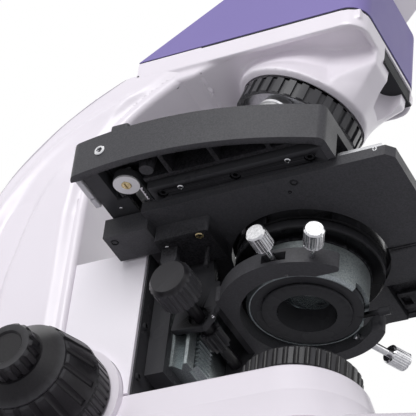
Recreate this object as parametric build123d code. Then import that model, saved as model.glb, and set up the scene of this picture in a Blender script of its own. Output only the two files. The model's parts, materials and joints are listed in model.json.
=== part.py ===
from build123d import *
import math
import os

# Binocular laboratory microscope with a reversed four-place nosepiece, a belt-driven stage,
# a focusing condenser and coaxial focus knobs. Millimetres, +Z up, the user in front at -Y.
# Everything is drawn about the optical axis (x = 0, y = 0, z = 0 on the table), and moved
# back by AXIS_Y when it is saved, so that the origin is under the middle of the base.

# Base
BASE_FRONT = -124.0
BASE_BACK = 192.0
BASE_FRONT_HALF = 42.0
BASE_REAR_HALF = 80.0
BASE_SHOULDER = 112.0
NOSE_START = -82.0
BACK_CORNER = 26.0
FOOT_HEIGHT = 5.0
FOOT_RADIUS = 11.0
FOOT_INSET = 18.0
EDGE_TOP = 13.0
DECK_TOP = 27.0
DECK_MARGIN = 8.5
DECK_NOSE_START = -41.0
DECK_NOSE = 13.0
BASE_WALL = 5.0
FLARE_TOP = 46.0
FLARE_RADIUS = (41.0, 37.0)
FLARE_FORWARD = (9.0, 4.0)
PEDESTAL_TOP = 62.0
PEDESTAL_RADIUS = 35.3
AXIS_Y = -(BASE_FRONT + BASE_BACK) / 2

# Field lens on the pedestal
FIELD_RING_RADIUS = 30.6
FIELD_RING_TOP = 77.7
FIELD_RING_RIBS = 36
FIELD_TUBE_RADIUS = 22.0
FIELD_BORE_RADIUS = 14.0
LAMP_WELL_RADIUS = 24.0

# Arm, its housing for the focus drive and its nose
ARM_HALF_WIDTH = 38.0
ARM_EDGE = 11.0
PILLAR_FRONT = 119.0
HOUSING_HALF = 34.0
HOUSING_FRONT = 78.0
HOUSING_TOP = 150.0
SIDE_PLATE = 2.0
SIDE_PLATE_TOP = 152.0
SIDE_PLATE_FRONT = 76.5
FRAME_FRONT = 75.5
DRIVE_SLOT_HALF = 14.0
NOSE_HALF_WIDTH = 40.0
NOSE_FRONT = -38.5
NOSE_BACK = 97.0
NOSE_CORNER = 12.0
RIM_BOTTOM = 274.0
NOSE_TOP = 286.0
SHADOW_GAP = 1.0
COVER_HEIGHT = 42.0
COVER_TOP = NOSE_TOP + COVER_HEIGHT
COVER_RIDGE_Y = 34.0
LIGHT_BORE = 9.0
SEAT_RING_HEIGHT = 10.0

# Slot and slider in the nose
SLOT_X = (-8.0, 30.0)
SLOT_Z = (271.0, 282.5)
SLOT_DEPTH = 18.0
SCOOP_RADIUS = 9.5

# Nosepiece: its turning axis leans back by this angle and meets the optical axis at the apex
TURRET_TILT = 22.0
TURRET_APEX = 283.6
TURRET_FACE = 42.7
GRIP_RADIUS = 35.3
GRIP_HEIGHT = 10.0
GRIP_RIBS = 30
TURRET_RADIUS = 32.6
OBJECTIVE_SEAT = 46.5
RECESS_RADIUS = 38.6
RECESS_WALL = 3.6
PARFOCAL = 45.0

# Coaxial focus knobs, on an axis along X
FOCUS_Y = 113.0
FOCUS_Z = 60.0
BOSS_RADIUS = 34.0
BOSS_FACE = 40.0
COLLAR_RADIUS = 29.8
COLLAR_WIDTH = 13.4
COARSE_WIDTH = 21.0
COARSE_RADIUS = (30.4, 24.3)
DIAL_WIDTH = 8.0
FINE_RADIUS = 14.5
FINE_WIDTH = 9.5
COARSE_SHAFT = 7.0
FINE_SHAFT = 4.0
FOCUS_MODULE = 1.0
FOCUS_TEETH = 16

# Stage
PLATE_BOTTOM = 152.0
PLATE_THICK = 6.0
PLATE_HALF = 64.0
PLATE_FRONT = -71.0
PLATE_BACK = 66.0
PLATE_HOLE = 41.0
STAGE_TOP = 177.0
TOP_THICK = 6.0
CASTING_FRONT = -42.0
CASTING_BACK = 91.0
CASTING_OVERHANG = (17.5, 36.9, 32.9)
CASTING_HALF = tuple(PLATE_HALF + overhang for overhang in CASTING_OVERHANG)
CASTING_BULGE_Y = 49.6
CASTING_CORNERS = (5.0, 8.0)
WINDOW_HALF = (26.0, 45.0)
WINDOW_Y = 8.0
WING_BOTTOM = 155.5
WING_WALL = 4.0
STRIP_X = (64.3, 75.5)
RIGHT_STRIP_X = (64.3, 68.4)
RIGHT_BEVEL = 5.5
NOTCH_X = 33.5
NOTCH_Y = -28.0
NOTCH_DEPTH = 4.5
STRIP_Y = (-38.0, 57.0)
STRIP_Z = (156.0, 162.0)
RAIL_WIDTH = 4.0
RAIL_HEIGHT = 1.8
GUIDE_Y = (78.0, 87.5)
GUIDE_BOTTOM = 160.2
GUIDE_HALF = 92.0
HOLDER_SLOT_Y = (63.0, 74.4)
PULLEY_X = 77.0
PULLEY_Y = 68.5
PULLEY_RADIUS = 6.0
PULLEY_Z = (160.5, 166.5)
DRIVE_X = 79.0
DRIVE_Y = -46.0
DRIVE_BOTTOM = 140.0

# Slide on the stage
SLIDE_LENGTH = 76.0
SLIDE_WIDTH = 26.0
HOLDER_THICK = 3.0
CLIP_THICK = 0.7
SHOE_Z = (167.3, 169.3)

# Stage carrier and condenser drive
CARRIER_HALF = 25.0
CARRIER_Y = (64.5, 75.2)
CARRIER_BOTTOM = 79.5
BRACKET_HALF = 51.0
BRACKET_BOTTOM = 142.5
BRACKET_FRONT = 34.0
DOVETAIL_HALF = 20.0
DOVETAIL_FRONT = 54.5
DOVETAIL_BOTTOM = 86.0
DOVETAIL_GROOVE = 4.5
CHEEK_THICK = 4.0
CARRIAGE_BOTTOM = 103.0
CARRIAGE_TOP = 151.0
CARRIAGE_FRONT = 38.3
CONDENSER_KNOB_Y = 48.5
CONDENSER_KNOB_Z = 110.5
CONDENSER_TEETH = 12
CONDENSER_PITCH_RADIUS = 5.0
RACK_X = (-12.0, 2.0)
CONDENSER_KNOB_RADIUS = 11.5
CONDENSER_KNOB_FACE = 59.0
CONDENSER_KNOB_LENGTH = 16.0
CONDENSER_SHAFT = 3.2

# Condenser and its fork
FORK_Z = (115.5, 124.5)
FORK_OUTER = 45.0
FORK_RIGHT_OUTER = 41.0
FORK_INNER = 33.8
FORK_GAP = (-29.0, 21.5)
FORK_ROOT_HALF = 27.0
ZINC_RADIUS = 31.0
ZINC_Z = (119.0, 140.0)
BODY_RADIUS = (38.6, 38.6)
BODY_Z = (142.5, 158.0)
TOP_LENS_RADIUS = 15.0
CONDENSER_TOP = 175.0
LOWER_RING_RADIUS = 23.4
LOWER_RING_BOTTOM = 117.3
IRIS_RING_RADIUS = 28.6
IRIS_RING_Z = (119.5, 123.0)
CONDENSER_OPENING = 15.4
SCREW_HEAD_RADIUS = 5.2
SCREW_HEAD_LENGTH = 12.0

# Binocular head
HEAD_TILT = 30.0
HEAD_PIVOT_RISE = 42.0
HEAD_REACH = 42.0
HEAD_HALF_WIDTH = 34.0
FOOT_RING_RADIUS = 27.0
TUBE_OFFSET = 38.0
PUPIL_DISTANCE = 64.0
HUB_RADIUS = 18.5
PRISM_RADIUS = 17.5
HUB_LAYER = 9.0
TUBE_RADIUS = 15.0
TUBE_LENGTH = 30.0
EYEPIECE_BARREL = 11.6
EYEPIECE_RADIUS = 17.0
EYEPIECE_LENGTH = 24.0
EYECUP_RADIUS = 18.5

# Clearances
RUNNING = 0.05
FREE = 0.3


def block(x, y, z):
    """Box between a low and a high limit on each axis."""
    centre = Pos((x[0] + x[1]) / 2, (y[0] + y[1]) / 2, (z[0] + z[1]) / 2)
    return centre * Box(x[1] - x[0], y[1] - y[0], z[1] - z[0])


def rod(radius, z, x=0.0, y=0.0):
    """Upright cylinder between two heights."""
    return Pos(x, y, (z[0] + z[1]) / 2) * Cylinder(radius, z[1] - z[0])


def rod_x(radius, x, y, z):
    """Cylinder along X between two places."""
    return Pos((x[0] + x[1]) / 2, y, z) * Rot(0, 90, 0) * Cylinder(radius, x[1] - x[0])


def turned(points):
    """Solid of revolution about Z from a closed outline of (radius, height) points."""
    outline = make_face(Polyline([(r, 0, z) for r, z in points], close=True))
    return revolve(outline, Axis.Z)


def mirrored(shape):
    """The shape together with its mirror image in X."""
    return shape + mirror(shape, Plane.YZ)


def side_profile(outline, half_width):
    """Extrude a closed outline drawn in (y, z) to both sides of the middle plane."""
    return extrude(Plane.YZ * make_face(outline), half_width, both=True)


def side_polygon(points, half_width):
    return side_profile(Polyline([(y, z) for y, z in points], close=True), half_width)


def grooves(count, radius, z, at_radius, lean=0.0):
    """Cylinders in a ring that cut finger grooves; lean follows a tapered wall."""
    middle = (z[0] + z[1]) / 2
    tool = Rot(0, lean, 0) * Cylinder(radius, (z[1] - z[0]) / math.cos(math.radians(lean)))
    step = 360 / count
    return [Rot(0, 0, i * step) * Pos(at_radius, 0, middle) * tool for i in range(count)]


def save(node, shape):
    export_step(Pos(0, AXIS_Y, 0) * shape, "parts/" + node + ".step")


# Base

def plan(inset, back, z, nose_start=NOSE_START, nose=None):
    """Outline of the base from above: a rounded nose, sides that swell, and a square back."""
    half = BASE_FRONT_HALF - inset
    rear = BASE_REAR_HALF - inset
    nose = nose or nose_start - BASE_FRONT - inset
    up = (0, 1)
    front = EllipticalCenterArc((0, nose_start), half, nose, 180, arc_size=180)
    right = Spline((half, nose_start), (rear, BASE_SHOULDER), tangents=(up, up))
    left = Spline((-half, nose_start), (-rear, BASE_SHOULDER), tangents=(up, up))
    rest = Polyline((rear, BASE_SHOULDER), (rear, back), (-rear, back), (-rear, BASE_SHOULDER))
    sheet = make_face(front + right + rest + left)
    corners = [v for v in sheet.vertices() if abs(v.Y - back) < 0.01]
    return Pos(0, 0, z) * fillet(corners, BACK_CORNER)


def deck_plan():
    """Top of the sloping deck: it starts just in front of the pedestal."""
    return plan(DECK_MARGIN, BASE_BACK - 4, DECK_TOP, DECK_NOSE_START, DECK_NOSE)


def pedestal_plan(radius, forward, z):
    """Round front about the optical axis, moved forward, that runs back into the arm."""
    back = PILLAR_FRONT + 6
    outline = Pos(0, (back - forward) / 2) * Rectangle(2 * radius, back + forward)
    return Pos(0, 0, z) * (outline + Pos(0, -forward) * Circle(radius))


def base_casting():
    edge = extrude(plan(0, BASE_BACK, FOOT_HEIGHT), EDGE_TOP - FOOT_HEIGHT)
    deck = loft([plan(0, BASE_BACK, EDGE_TOP), deck_plan()], ruled=True)
    middle = pedestal_plan(FLARE_RADIUS[1], FLARE_FORWARD[1], FLARE_TOP)
    flare = loft([pedestal_plan(FLARE_RADIUS[0], FLARE_FORWARD[0], DECK_TOP), middle], ruled=True)
    pedestal = loft([middle, pedestal_plan(PEDESTAL_RADIUS, 0, PEDESTAL_TOP)], ruled=True)
    rim = pedestal.faces().sort_by(Axis.Z)[-1].edges().filter_by(lambda e: e.center().Y < 100)
    body = edge + deck + flare + fillet(rim, 1.5)
    body -= extrude(plan(BASE_WALL, BASE_BACK - BASE_WALL, FOOT_HEIGHT), EDGE_TOP - FOOT_HEIGHT - 1)
    body -= rod(LAMP_WELL_RADIUS, (EDGE_TOP - 3, PEDESTAL_TOP - 8))
    body -= rod(FIELD_BORE_RADIUS + 2 + RUNNING, (PEDESTAL_TOP - 9, PEDESTAL_TOP + 1))
    body -= block((-HOUSING_HALF, HOUSING_HALF), (HOUSING_FRONT, PILLAR_FRONT + 1),
                  (DECK_TOP, PEDESTAL_TOP + 1))
    body -= block((-ARM_HALF_WIDTH, ARM_HALF_WIDTH), (PILLAR_FRONT, BASE_BACK + 1),
                  (DECK_TOP, PEDESTAL_TOP + 1))
    body -= focus_boss(BOSS_RADIUS, BOSS_FACE)
    relief = rod_x(COARSE_RADIUS[0] + 2.5, (BOSS_FACE, BASE_REAR_HALF), FOCUS_Y, FOCUS_Z)
    return body - mirrored(relief)


def base_plate():
    inset = BASE_WALL + FREE
    plate = extrude(plan(inset, BASE_BACK - inset, FOOT_HEIGHT), 2)
    spacers = [rod(5, (FOOT_HEIGHT + 2, EDGE_TOP - 1), x, y) for x, y in foot_places()]
    vents = [Pos(0, y, FOOT_HEIGHT + 1) * SlotOverall(50, 4) for y in range(40, 100, 12)]
    return plate + spacers - [extrude(vent, 2, both=True) for vent in vents]


def foot_places():
    front_x = BASE_FRONT_HALF - FOOT_INSET
    rear_x = BASE_REAR_HALF - FOOT_INSET
    front_y = BASE_FRONT + 2 * FOOT_INSET
    rear_y = BASE_BACK - 1.5 * FOOT_INSET
    return [(-front_x, front_y), (front_x, front_y), (-rear_x, rear_y), (rear_x, rear_y)]


def rubber_feet():
    foot = turned([(0, 0), (FOOT_RADIUS - 1.5, 0), (FOOT_RADIUS, 1.5), (FOOT_RADIUS, FOOT_HEIGHT),
                   (0, FOOT_HEIGHT)])
    return Compound([Pos(x, y, 0) * foot for x, y in foot_places()])


# Power inlet, switch and brightness knob, all in the foot of the arm

ARM_FOOT_BACK = 186.0
INLET_Z = 46.0
SWITCH_Y = 164.0
SWITCH_Z = 46.0
BRIGHTNESS_Y = 166.0
BRIGHTNESS_Z = 50.0
BRIGHTNESS_RADIUS = 10.0


def inlet_place():
    return block((-14, 14), (ARM_FOOT_BACK - 22, BASE_BACK + 1), (INLET_Z - 8, INLET_Z + 8))


def power_inlet():
    """Inlet housing with a hollow for the lead's socket and three contact pins."""
    body = block((-13.9, 13.9), (ARM_FOOT_BACK - 21.9, ARM_FOOT_BACK + 0.5), (INLET_Z - 7.9, INLET_Z + 7.9))
    body -= block((-11.5, 11.5), (ARM_FOOT_BACK - 17, BASE_BACK), (INLET_Z - 6, INLET_Z + 6))
    pin = Rot(90, 0, 0) * Cylinder(1.2, 14)
    return body + [Pos(x, ARM_FOOT_BACK - 12, INLET_Z) * pin for x in (-7, 0, 7)]


def switch_place(gap):
    return block((-ARM_HALF_WIDTH - 1, -ARM_HALF_WIDTH + 9 - gap),
                 (SWITCH_Y - 9 + gap, SWITCH_Y + 9 - gap), (SWITCH_Z - 5.5 + gap, SWITCH_Z + 5.5 - gap))


def power_switch():
    """Rocker that tips about an upright pin in its middle."""
    face = -ARM_HALF_WIDTH
    half = 9 - FREE - 0.4
    rocker = Polyline([(face - 1.6, SWITCH_Y - half), (face + 0.2, SWITCH_Y), (face - 1.6, SWITCH_Y + half),
                       (face + 4.5, SWITCH_Y + half - 1.4), (face + 6.5, SWITCH_Y),
                       (face + 4.5, SWITCH_Y - half + 1.4)], close=True)
    body = extrude(Pos(0, 0, SWITCH_Z) * make_face(rocker), 5.5 - FREE, both=True)
    return body + rod(1.2, (SWITCH_Z - 5.5, SWITCH_Z + 5.5), face + 4, SWITCH_Y)


def brightness_bore():
    face = ARM_HALF_WIDTH
    return rod_x(3 + RUNNING, (face - 9, face + 1), BRIGHTNESS_Y, BRIGHTNESS_Z)


def brightness_knob():
    knob = turned([(0, FREE), (BRIGHTNESS_RADIUS, FREE), (BRIGHTNESS_RADIUS, 7), (BRIGHTNESS_RADIUS - 1, 8),
                   (0, 8)])
    knob -= grooves(20, 1.1, (-1, 9), BRIGHTNESS_RADIUS + 0.5)
    knob += rod(3, (-8.5, FREE))
    knob -= Pos(BRIGHTNESS_RADIUS - 3, 0, 8) * Box(4, 1, 0.8)
    return Pos(ARM_HALF_WIDTH, BRIGHTNESS_Y, BRIGHTNESS_Z) * Rot(0, 90, 0) * knob


# Field lens

def lamp_module():
    """Finned heat sink with the lamp's disc and its collector lens holder."""
    bottom = FOOT_HEIGHT + 2
    core = rod(9, (bottom, 34)) + rod(LAMP_WELL_RADIUS - 1, (31, 34))
    fins = [rod(LAMP_WELL_RADIUS - 2, (z, z + 1.2)) for z in (12, 16, 20, 24, 28)]
    return core + fins + rod(5, (34, 36)) + (rod(15, (34, 40)) - rod(12, (33, 41)))


def field_lens_mount():
    """Flanged tube that carries the field lens; the ribbed ring turns on it."""
    z = PEDESTAL_TOP
    tube = turned([(FIELD_BORE_RADIUS, z - 8), (FIELD_BORE_RADIUS + 2, z - 8), (FIELD_BORE_RADIUS + 2, z),
                   (FIELD_RING_RADIUS - 3, z), (FIELD_RING_RADIUS - 3, z + 2), (FIELD_TUBE_RADIUS, z + 2),
                   (FIELD_TUBE_RADIUS, FIELD_RING_TOP - 2), (FIELD_TUBE_RADIUS - 2, FIELD_RING_TOP - 1),
                   (FIELD_BORE_RADIUS + 3, FIELD_RING_TOP - 1), (FIELD_BORE_RADIUS + 3, FIELD_RING_TOP - 4),
                   (FIELD_BORE_RADIUS, FIELD_RING_TOP - 7)])
    return tube


def field_lens():
    top = FIELD_RING_TOP - 1.2
    edge = FIELD_BORE_RADIUS + 3 - RUNNING
    bowl = turned([(0, top - 2.6), (FIELD_BORE_RADIUS, top - 2.6), (edge, top - 2.4), (edge, top - 1.2),
                   (edge * 0.7, top - 0.3), (edge * 0.35, top), (0, top)])
    return bowl


def field_diaphragm_ring():
    z0 = PEDESTAL_TOP + 2 + FREE
    bore = FIELD_TUBE_RADIUS + RUNNING
    ring = turned([(bore, z0), (FIELD_RING_RADIUS - 1, z0), (FIELD_RING_RADIUS, z0 + 1.5),
                   (FIELD_RING_RADIUS, FIELD_RING_TOP - 2.5), (FIELD_RING_RADIUS - 2.5, FIELD_RING_TOP),
                   (bore + 1.5, FIELD_RING_TOP), (bore, FIELD_RING_TOP - 1.5)])
    return ring - grooves(FIELD_RING_RIBS, 1.5, (z0 + 1.5, FIELD_RING_TOP + 1), FIELD_RING_RADIUS + 0.4)


# Arm

def arm_profile():
    """Side outline of the arm: rounded back, arched inside."""
    back = Spline([(NOSE_BACK, NOSE_TOP - 0.5), (125, 272), (152, 252), (174, 226), (187, 194), (191, 150),
                   (188, 100), (ARM_FOOT_BACK, DECK_TOP)], tangents=[(0.86, -0.5), (-0.02, -1)])
    arch = Spline([(PILLAR_FRONT, 186), (113, 226), (98, 248), (78, 263), (58, 270)],
                  tangents=[(0, 1), (-1, 0.12)])
    edges = [back, Line((ARM_FOOT_BACK, DECK_TOP), (PILLAR_FRONT, DECK_TOP)),
             Line((PILLAR_FRONT, DECK_TOP), (PILLAR_FRONT, 186)), arch,
             Line((58, 270), (58, NOSE_TOP - 0.5)), Line((58, NOSE_TOP - 0.5), (NOSE_BACK, NOSE_TOP - 0.5))]
    return Wire(edges)


def focus_boss(radius, half_width):
    return rod_x(radius, (-half_width, half_width), FOCUS_Y, FOCUS_Z)


def nose_plan(inset, back, z):
    """Outline of the nose from above, rounded at the front corners."""
    half = NOSE_HALF_WIDTH - inset
    front = NOSE_FRONT + inset
    corner = NOSE_CORNER - inset
    sheet = Pos(0, (front + back) / 2) * Rectangle(2 * half, back - front)
    sheet = fillet(sheet.vertices().sort_by(Axis.Y)[:2], corner)
    return Pos(0, 0, z) * sheet


def turret_frame():
    """Frame on the turret's lower face centre, +Z up along its turning axis."""
    tilt = math.radians(TURRET_TILT)
    y = TURRET_FACE * math.sin(tilt)
    z = TURRET_APEX - TURRET_FACE * math.cos(tilt)
    return Location((0, y, z), (TURRET_TILT, 0, 0))


def arm_nose():
    """Rim band, funnel down to the nosepiece and the leaning recess for it."""
    band = extrude(nose_plan(0, NOSE_BACK, RIM_BOTTOM), NOSE_TOP - RIM_BOTTOM)
    mouth = turret_frame() * (Pos(0, 0, 3.5) * Circle(RECESS_RADIUS + RECESS_WALL))
    funnel = loft([mouth, nose_plan(1.5, 68, RIM_BOTTOM)])
    nose = fillet(band.edges().group_by(Axis.Z)[0].filter_by(lambda e: e.center().Y < 90), 2) + funnel
    nose -= turret_frame() * rod(RECESS_RADIUS, (-30, GRIP_HEIGHT + 9))
    nose -= block(SLOT_X, (NOSE_FRONT - 20, NOSE_FRONT + SLOT_DEPTH), SLOT_Z)
    scoop_x = (SLOT_X[0] + SLOT_X[1]) / 2 - 2
    nose -= rod(SCOOP_RADIUS, (SLOT_Z[0] - 14, SLOT_Z[0] + 1), scoop_x, NOSE_FRONT + 3)
    return nose


def arm_casting():
    column = side_profile(arm_profile(), ARM_HALF_WIDTH)
    back_edges = column.edges().filter_by(lambda e: e.center().Y > 140 and abs(e.center().X) > 30
                                          and e.length > 150)
    column = fillet(back_edges, ARM_EDGE)
    housing = block((-HOUSING_HALF, HOUSING_HALF), (HOUSING_FRONT, PILLAR_FRONT + 5),
                    (DECK_TOP, HOUSING_TOP))
    body = column + housing + focus_boss(BOSS_RADIUS, BOSS_FACE) + arm_nose()
    body -= block((-DRIVE_SLOT_HALF, DRIVE_SLOT_HALF), (HOUSING_FRONT - 1, PILLAR_FRONT + 6),
                  (DECK_TOP + 6, HOUSING_TOP - 3))
    body -= focus_boss(COARSE_SHAFT + RUNNING, BOSS_FACE + 1)
    body -= inlet_place()
    body -= switch_place(0)
    body -= brightness_bore()
    return body - rod(LIGHT_BORE, (200, NOSE_TOP + 1))


def arm_cover():
    """Wedge-shaped cover whose roof rises towards the head's seat."""
    low = NOSE_TOP + SHADOW_GAP
    wedge = side_polygon([(NOSE_FRONT, low), (NOSE_BACK, low), (COVER_RIDGE_Y, COVER_TOP),
                          (NOSE_FRONT, COVER_TOP)], NOSE_HALF_WIDTH)
    corners = wedge.edges().filter_by(Axis.Z).group_by(Axis.Y)[0]
    wedge = fillet(corners, NOSE_CORNER)
    upper = wedge.edges().filter_by(lambda e: e.bounding_box().min.Z > COVER_TOP - 1 and not
                                    (abs(e.center().X) < 1 and e.center().Y > COVER_RIDGE_Y - 1))
    wedge = fillet(upper, 3)
    seat = extrude(nose_plan(1.5, NOSE_BACK - 3, NOSE_TOP), SHADOW_GAP)
    ring_top = COVER_TOP + SEAT_RING_HEIGHT
    ring = rod(FOOT_RING_RADIUS + 4, (COVER_TOP, ring_top)) \
        - rod(FOOT_RING_RADIUS + RUNNING, (COVER_TOP - 1, ring_top + 1))
    body = wedge + seat + ring - rod(LIGHT_BORE, (NOSE_TOP - 1, COVER_TOP + 1))
    return body - lock_screw_bore()


def lock_screw_bore():
    z = COVER_TOP + SEAT_RING_HEIGHT / 2
    return rod_x(1.5 + RUNNING, (FOOT_RING_RADIUS - 1, FOOT_RING_RADIUS + 6), 0, z)


def housing_side_plates():
    """Flat white plates that close the focus housing's sides."""
    plate = block((HOUSING_HALF, HOUSING_HALF + SIDE_PLATE), (SIDE_PLATE_FRONT, PILLAR_FRONT - FREE),
                  (PEDESTAL_TOP + FREE, SIDE_PLATE_TOP))
    plate -= focus_boss(BOSS_RADIUS + FREE, BOSS_FACE)
    return Compound([plate, mirror(plate, Plane.YZ)])


def focus_guide_frame():
    """Frame on the housing's front, with the window that the carrier's tongue runs in."""
    frame = block((-HOUSING_HALF, HOUSING_HALF), (FRAME_FRONT, HOUSING_FRONT),
                  (PEDESTAL_TOP + FREE, HOUSING_TOP))
    window = block((-DRIVE_SLOT_HALF, DRIVE_SLOT_HALF), (FRAME_FRONT - 1, HOUSING_FRONT + 1),
                   (PEDESTAL_TOP + 6, HOUSING_TOP - 3))
    return frame - window


# Slider in the nose

def nose_slider():
    x = (SLOT_X[0] + FREE, SLOT_X[1] - FREE)
    front = NOSE_FRONT + 0.8
    face = block(x, (front, front + 2), (SLOT_Z[0] + 1.7, SLOT_Z[1] - FREE))
    tray = block(x, (front - 1.2, NOSE_FRONT + SLOT_DEPTH - 2), (SLOT_Z[0] + FREE, SLOT_Z[0] + 1.7))
    glass = rod(8, (SLOT_Z[0] + 1.7, SLOT_Z[0] + 2.2), (x[0] + x[1]) / 2, NOSE_FRONT + 8.5)
    return face + tray + glass


# Focus drive

def gear(teeth, pitch_radius, length, backlash):
    """Spur gear along Z with straight-sided teeth."""
    pitch = 2 * math.pi * pitch_radius / teeth
    module = pitch / math.pi
    root = pitch_radius - 1.15 * module
    tip = pitch_radius + 0.9 * module
    wide = pitch / 2 - backlash + 2 * 1.15 * module * math.tan(math.radians(18))
    narrow = pitch / 2 - backlash - 2 * 0.9 * module * math.tan(math.radians(22))
    tooth = make_face(Polyline([(root - 0.5, -wide / 2), (root, -wide / 2), (tip, -narrow / 2),
                                (tip, narrow / 2), (root, wide / 2), (root - 0.5, wide / 2)], close=True))
    step = 360 / teeth
    outline = Circle(root) + [Rot(0, 0, i * step) * tooth for i in range(teeth)]
    return extrude(outline, length / 2, both=True)


def rack(pitch, x, z, pitch_y, backing, direction):
    """Rack along Z across x; its teeth point to -Y or +Y and are centred on tooth_z."""
    module = pitch / math.pi
    tip_y = pitch_y + direction * 0.9 * module
    root_y = pitch_y - direction * 1.15 * module
    half_root = pitch / 4 + 1.15 * module * math.tan(math.radians(20)) - 0.08
    half_tip = pitch / 4 - 0.9 * module * math.tan(math.radians(20)) - 0.08
    count = int((z[1] - z[0] - pitch) / pitch)
    points = [(backing, z[0])]
    for i in range(count):
        middle = z[0] + pitch * (i + 1)
        points += [(root_y, middle - half_root), (tip_y, middle - half_tip),
                   (tip_y, middle + half_tip), (root_y, middle + half_root)]
    points += [(backing, z[0] + pitch * (count + 1))]
    bar = make_face(Polyline([(y, height) for y, height in points], close=True))
    return Pos((x[0] + x[1]) / 2, 0, 0) * extrude(Plane.YZ * bar, (x[1] - x[0]) / 2, both=True)


def focus_pitch():
    return math.pi * FOCUS_MODULE


def focus_pitch_radius():
    return FOCUS_MODULE * FOCUS_TEETH / 2


def on_side(side, shape):
    """Lay a part turned about Z, z = 0 at the middle plane, out along -X (-1) or +X (1)."""
    return Pos(0, FOCUS_Y, FOCUS_Z) * Rot(0, side * 90, 0) * shape


def coarse_knob():
    inner = BOSS_FACE + COLLAR_WIDTH + FREE
    outer = inner + COARSE_WIDTH
    big, small = COARSE_RADIUS
    bore = FINE_SHAFT + RUNNING
    knob = turned([(bore, inner), (big - 1.5, inner), (big, inner + 1.5), (small + 1, outer - 1),
                   (small, outer), (FINE_RADIUS + 3, outer), (FINE_RADIUS + 3, outer - 5), (bore, outer - 5)])
    lean = math.degrees(math.atan2(big - small, COARSE_WIDTH))
    knob -= grooves(18, 2.6, (inner + 3.5, outer + 3), (big + small) / 2 + 1.4, -lean)
    return knob


def coarse_focus_knobs():
    """Both coarse knobs on their hollow shaft, with the pinion in the middle."""
    shaft = rod(COARSE_SHAFT, (-BOSS_FACE - COLLAR_WIDTH - 1, BOSS_FACE + COLLAR_WIDTH + 1)) \
        - rod(FINE_SHAFT + RUNNING, (-100, 100))
    both = on_side(-1, coarse_knob()) + on_side(1, coarse_knob()) + on_side(1, shaft)
    teeth = gear(FOCUS_TEETH, focus_pitch_radius(), 12, 0.25) - rod(FINE_SHAFT + RUNNING, (-10, 10))
    return both + on_side(1, Rot(0, 0, 180 / FOCUS_TEETH) * teeth)


def fine_knob():
    inner = BOSS_FACE + COLLAR_WIDTH + FREE + COARSE_WIDTH + FREE
    dial_out = inner + DIAL_WIDTH
    face = dial_out + FINE_WIDTH
    dial_r = COARSE_RADIUS[1] - 0.4
    knob = turned([(0, inner), (dial_r, inner), (dial_r, inner + 1), (FINE_RADIUS + 1, dial_out),
                   (FINE_RADIUS, dial_out), (FINE_RADIUS, face - 1.5), (FINE_RADIUS - 1.5, face),
                   (9.5, face), (8.5, face - 1), (0, face - 1)])
    return knob - grooves(14, 1.9, (dial_out + 0.5, face + 1), FINE_RADIUS + 0.6)


def fine_focus_knobs():
    reach = BOSS_FACE + COLLAR_WIDTH + COARSE_WIDTH + 1
    shaft = rod(FINE_SHAFT, (-reach, reach))
    return on_side(-1, fine_knob()) + on_side(1, fine_knob()) + on_side(1, shaft)


def focus_collar(ribs):
    """Ring between the arm and a coarse knob, turning on the coarse shaft."""
    bore = COARSE_SHAFT + RUNNING
    z0 = BOSS_FACE + FREE
    z1 = BOSS_FACE + COLLAR_WIDTH
    ring = turned([(bore, z0), (COLLAR_RADIUS - 1, z0), (COLLAR_RADIUS, z0 + 1), (COLLAR_RADIUS, z1 - 1),
                   (COLLAR_RADIUS - 1, z1), (bore, z1)])
    return ring - grooves(ribs, 1.0, (z0 + 2, z1 + 1), COLLAR_RADIUS + 0.4)


def tension_collar():
    return on_side(-1, focus_collar(44))


def focus_stop_collar():
    return on_side(1, focus_collar(30))


# Stage carrier and stage

def carrier_rack_y():
    return FOCUS_Y - focus_pitch_radius() - 0.15


def stage_carrier():
    """Moving slide: front slab, tongue through the window, and the focus rack behind."""
    slab = block((-CARRIER_HALF, CARRIER_HALF), CARRIER_Y, (CARRIER_BOTTOM, BRACKET_BOTTOM))
    half = DRIVE_SLOT_HALF - FREE
    tongue = block((-half, half), (CARRIER_Y[1], 98), (CARRIER_BOTTOM + 6, 128))
    keel = block((-8, 8), (90, 98), (40, 128))
    pitch = focus_pitch()
    teeth = rack(pitch, (-5, 5), (FOCUS_Z - 6 * pitch, FOCUS_Z + 10 * pitch), carrier_rack_y(), 98, 1)
    return slab + tongue + keel + teeth


def stage_bracket():
    """Table under the stage plate, cut round for the condenser."""
    z = (BRACKET_BOTTOM, PLATE_BOTTOM)
    table = block((-BRACKET_HALF, BRACKET_HALF), (BRACKET_FRONT, CARRIER_Y[0]), z)
    table = fillet(table.edges().filter_by(Axis.Z), 1.5)
    table += block((-CARRIER_HALF, CARRIER_HALF), (CARRIER_Y[0] - 4, CARRIER_Y[1]), z)
    table -= rod(PLATE_HOLE, (z[0] - 1, z[1] + 1))
    table -= block((-CARRIER_HALF - 2, CARRIER_HALF + 2), (BRACKET_FRONT - 1, DOVETAIL_FRONT + 1.5),
                   (z[0] - 1, z[1] + 1))
    table -= mirrored(block((DOVETAIL_HALF, CARRIER_HALF + 2), (DOVETAIL_FRONT - 1, CARRIER_Y[0] - 0.2),
                            (z[0] - 1, z[1] - 2)))
    pins = [rod(1.3, (z[0] - 12, z[0]), sx * 37, 40) for sx in (-1, 1)]
    lug = block((-44, -40), (54, 63), (z[0] - 7, z[0])) + rod_x(4.5, (-44, -40), 58.5, z[0] - 7)
    return table + pins + mirrored(lug)


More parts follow.
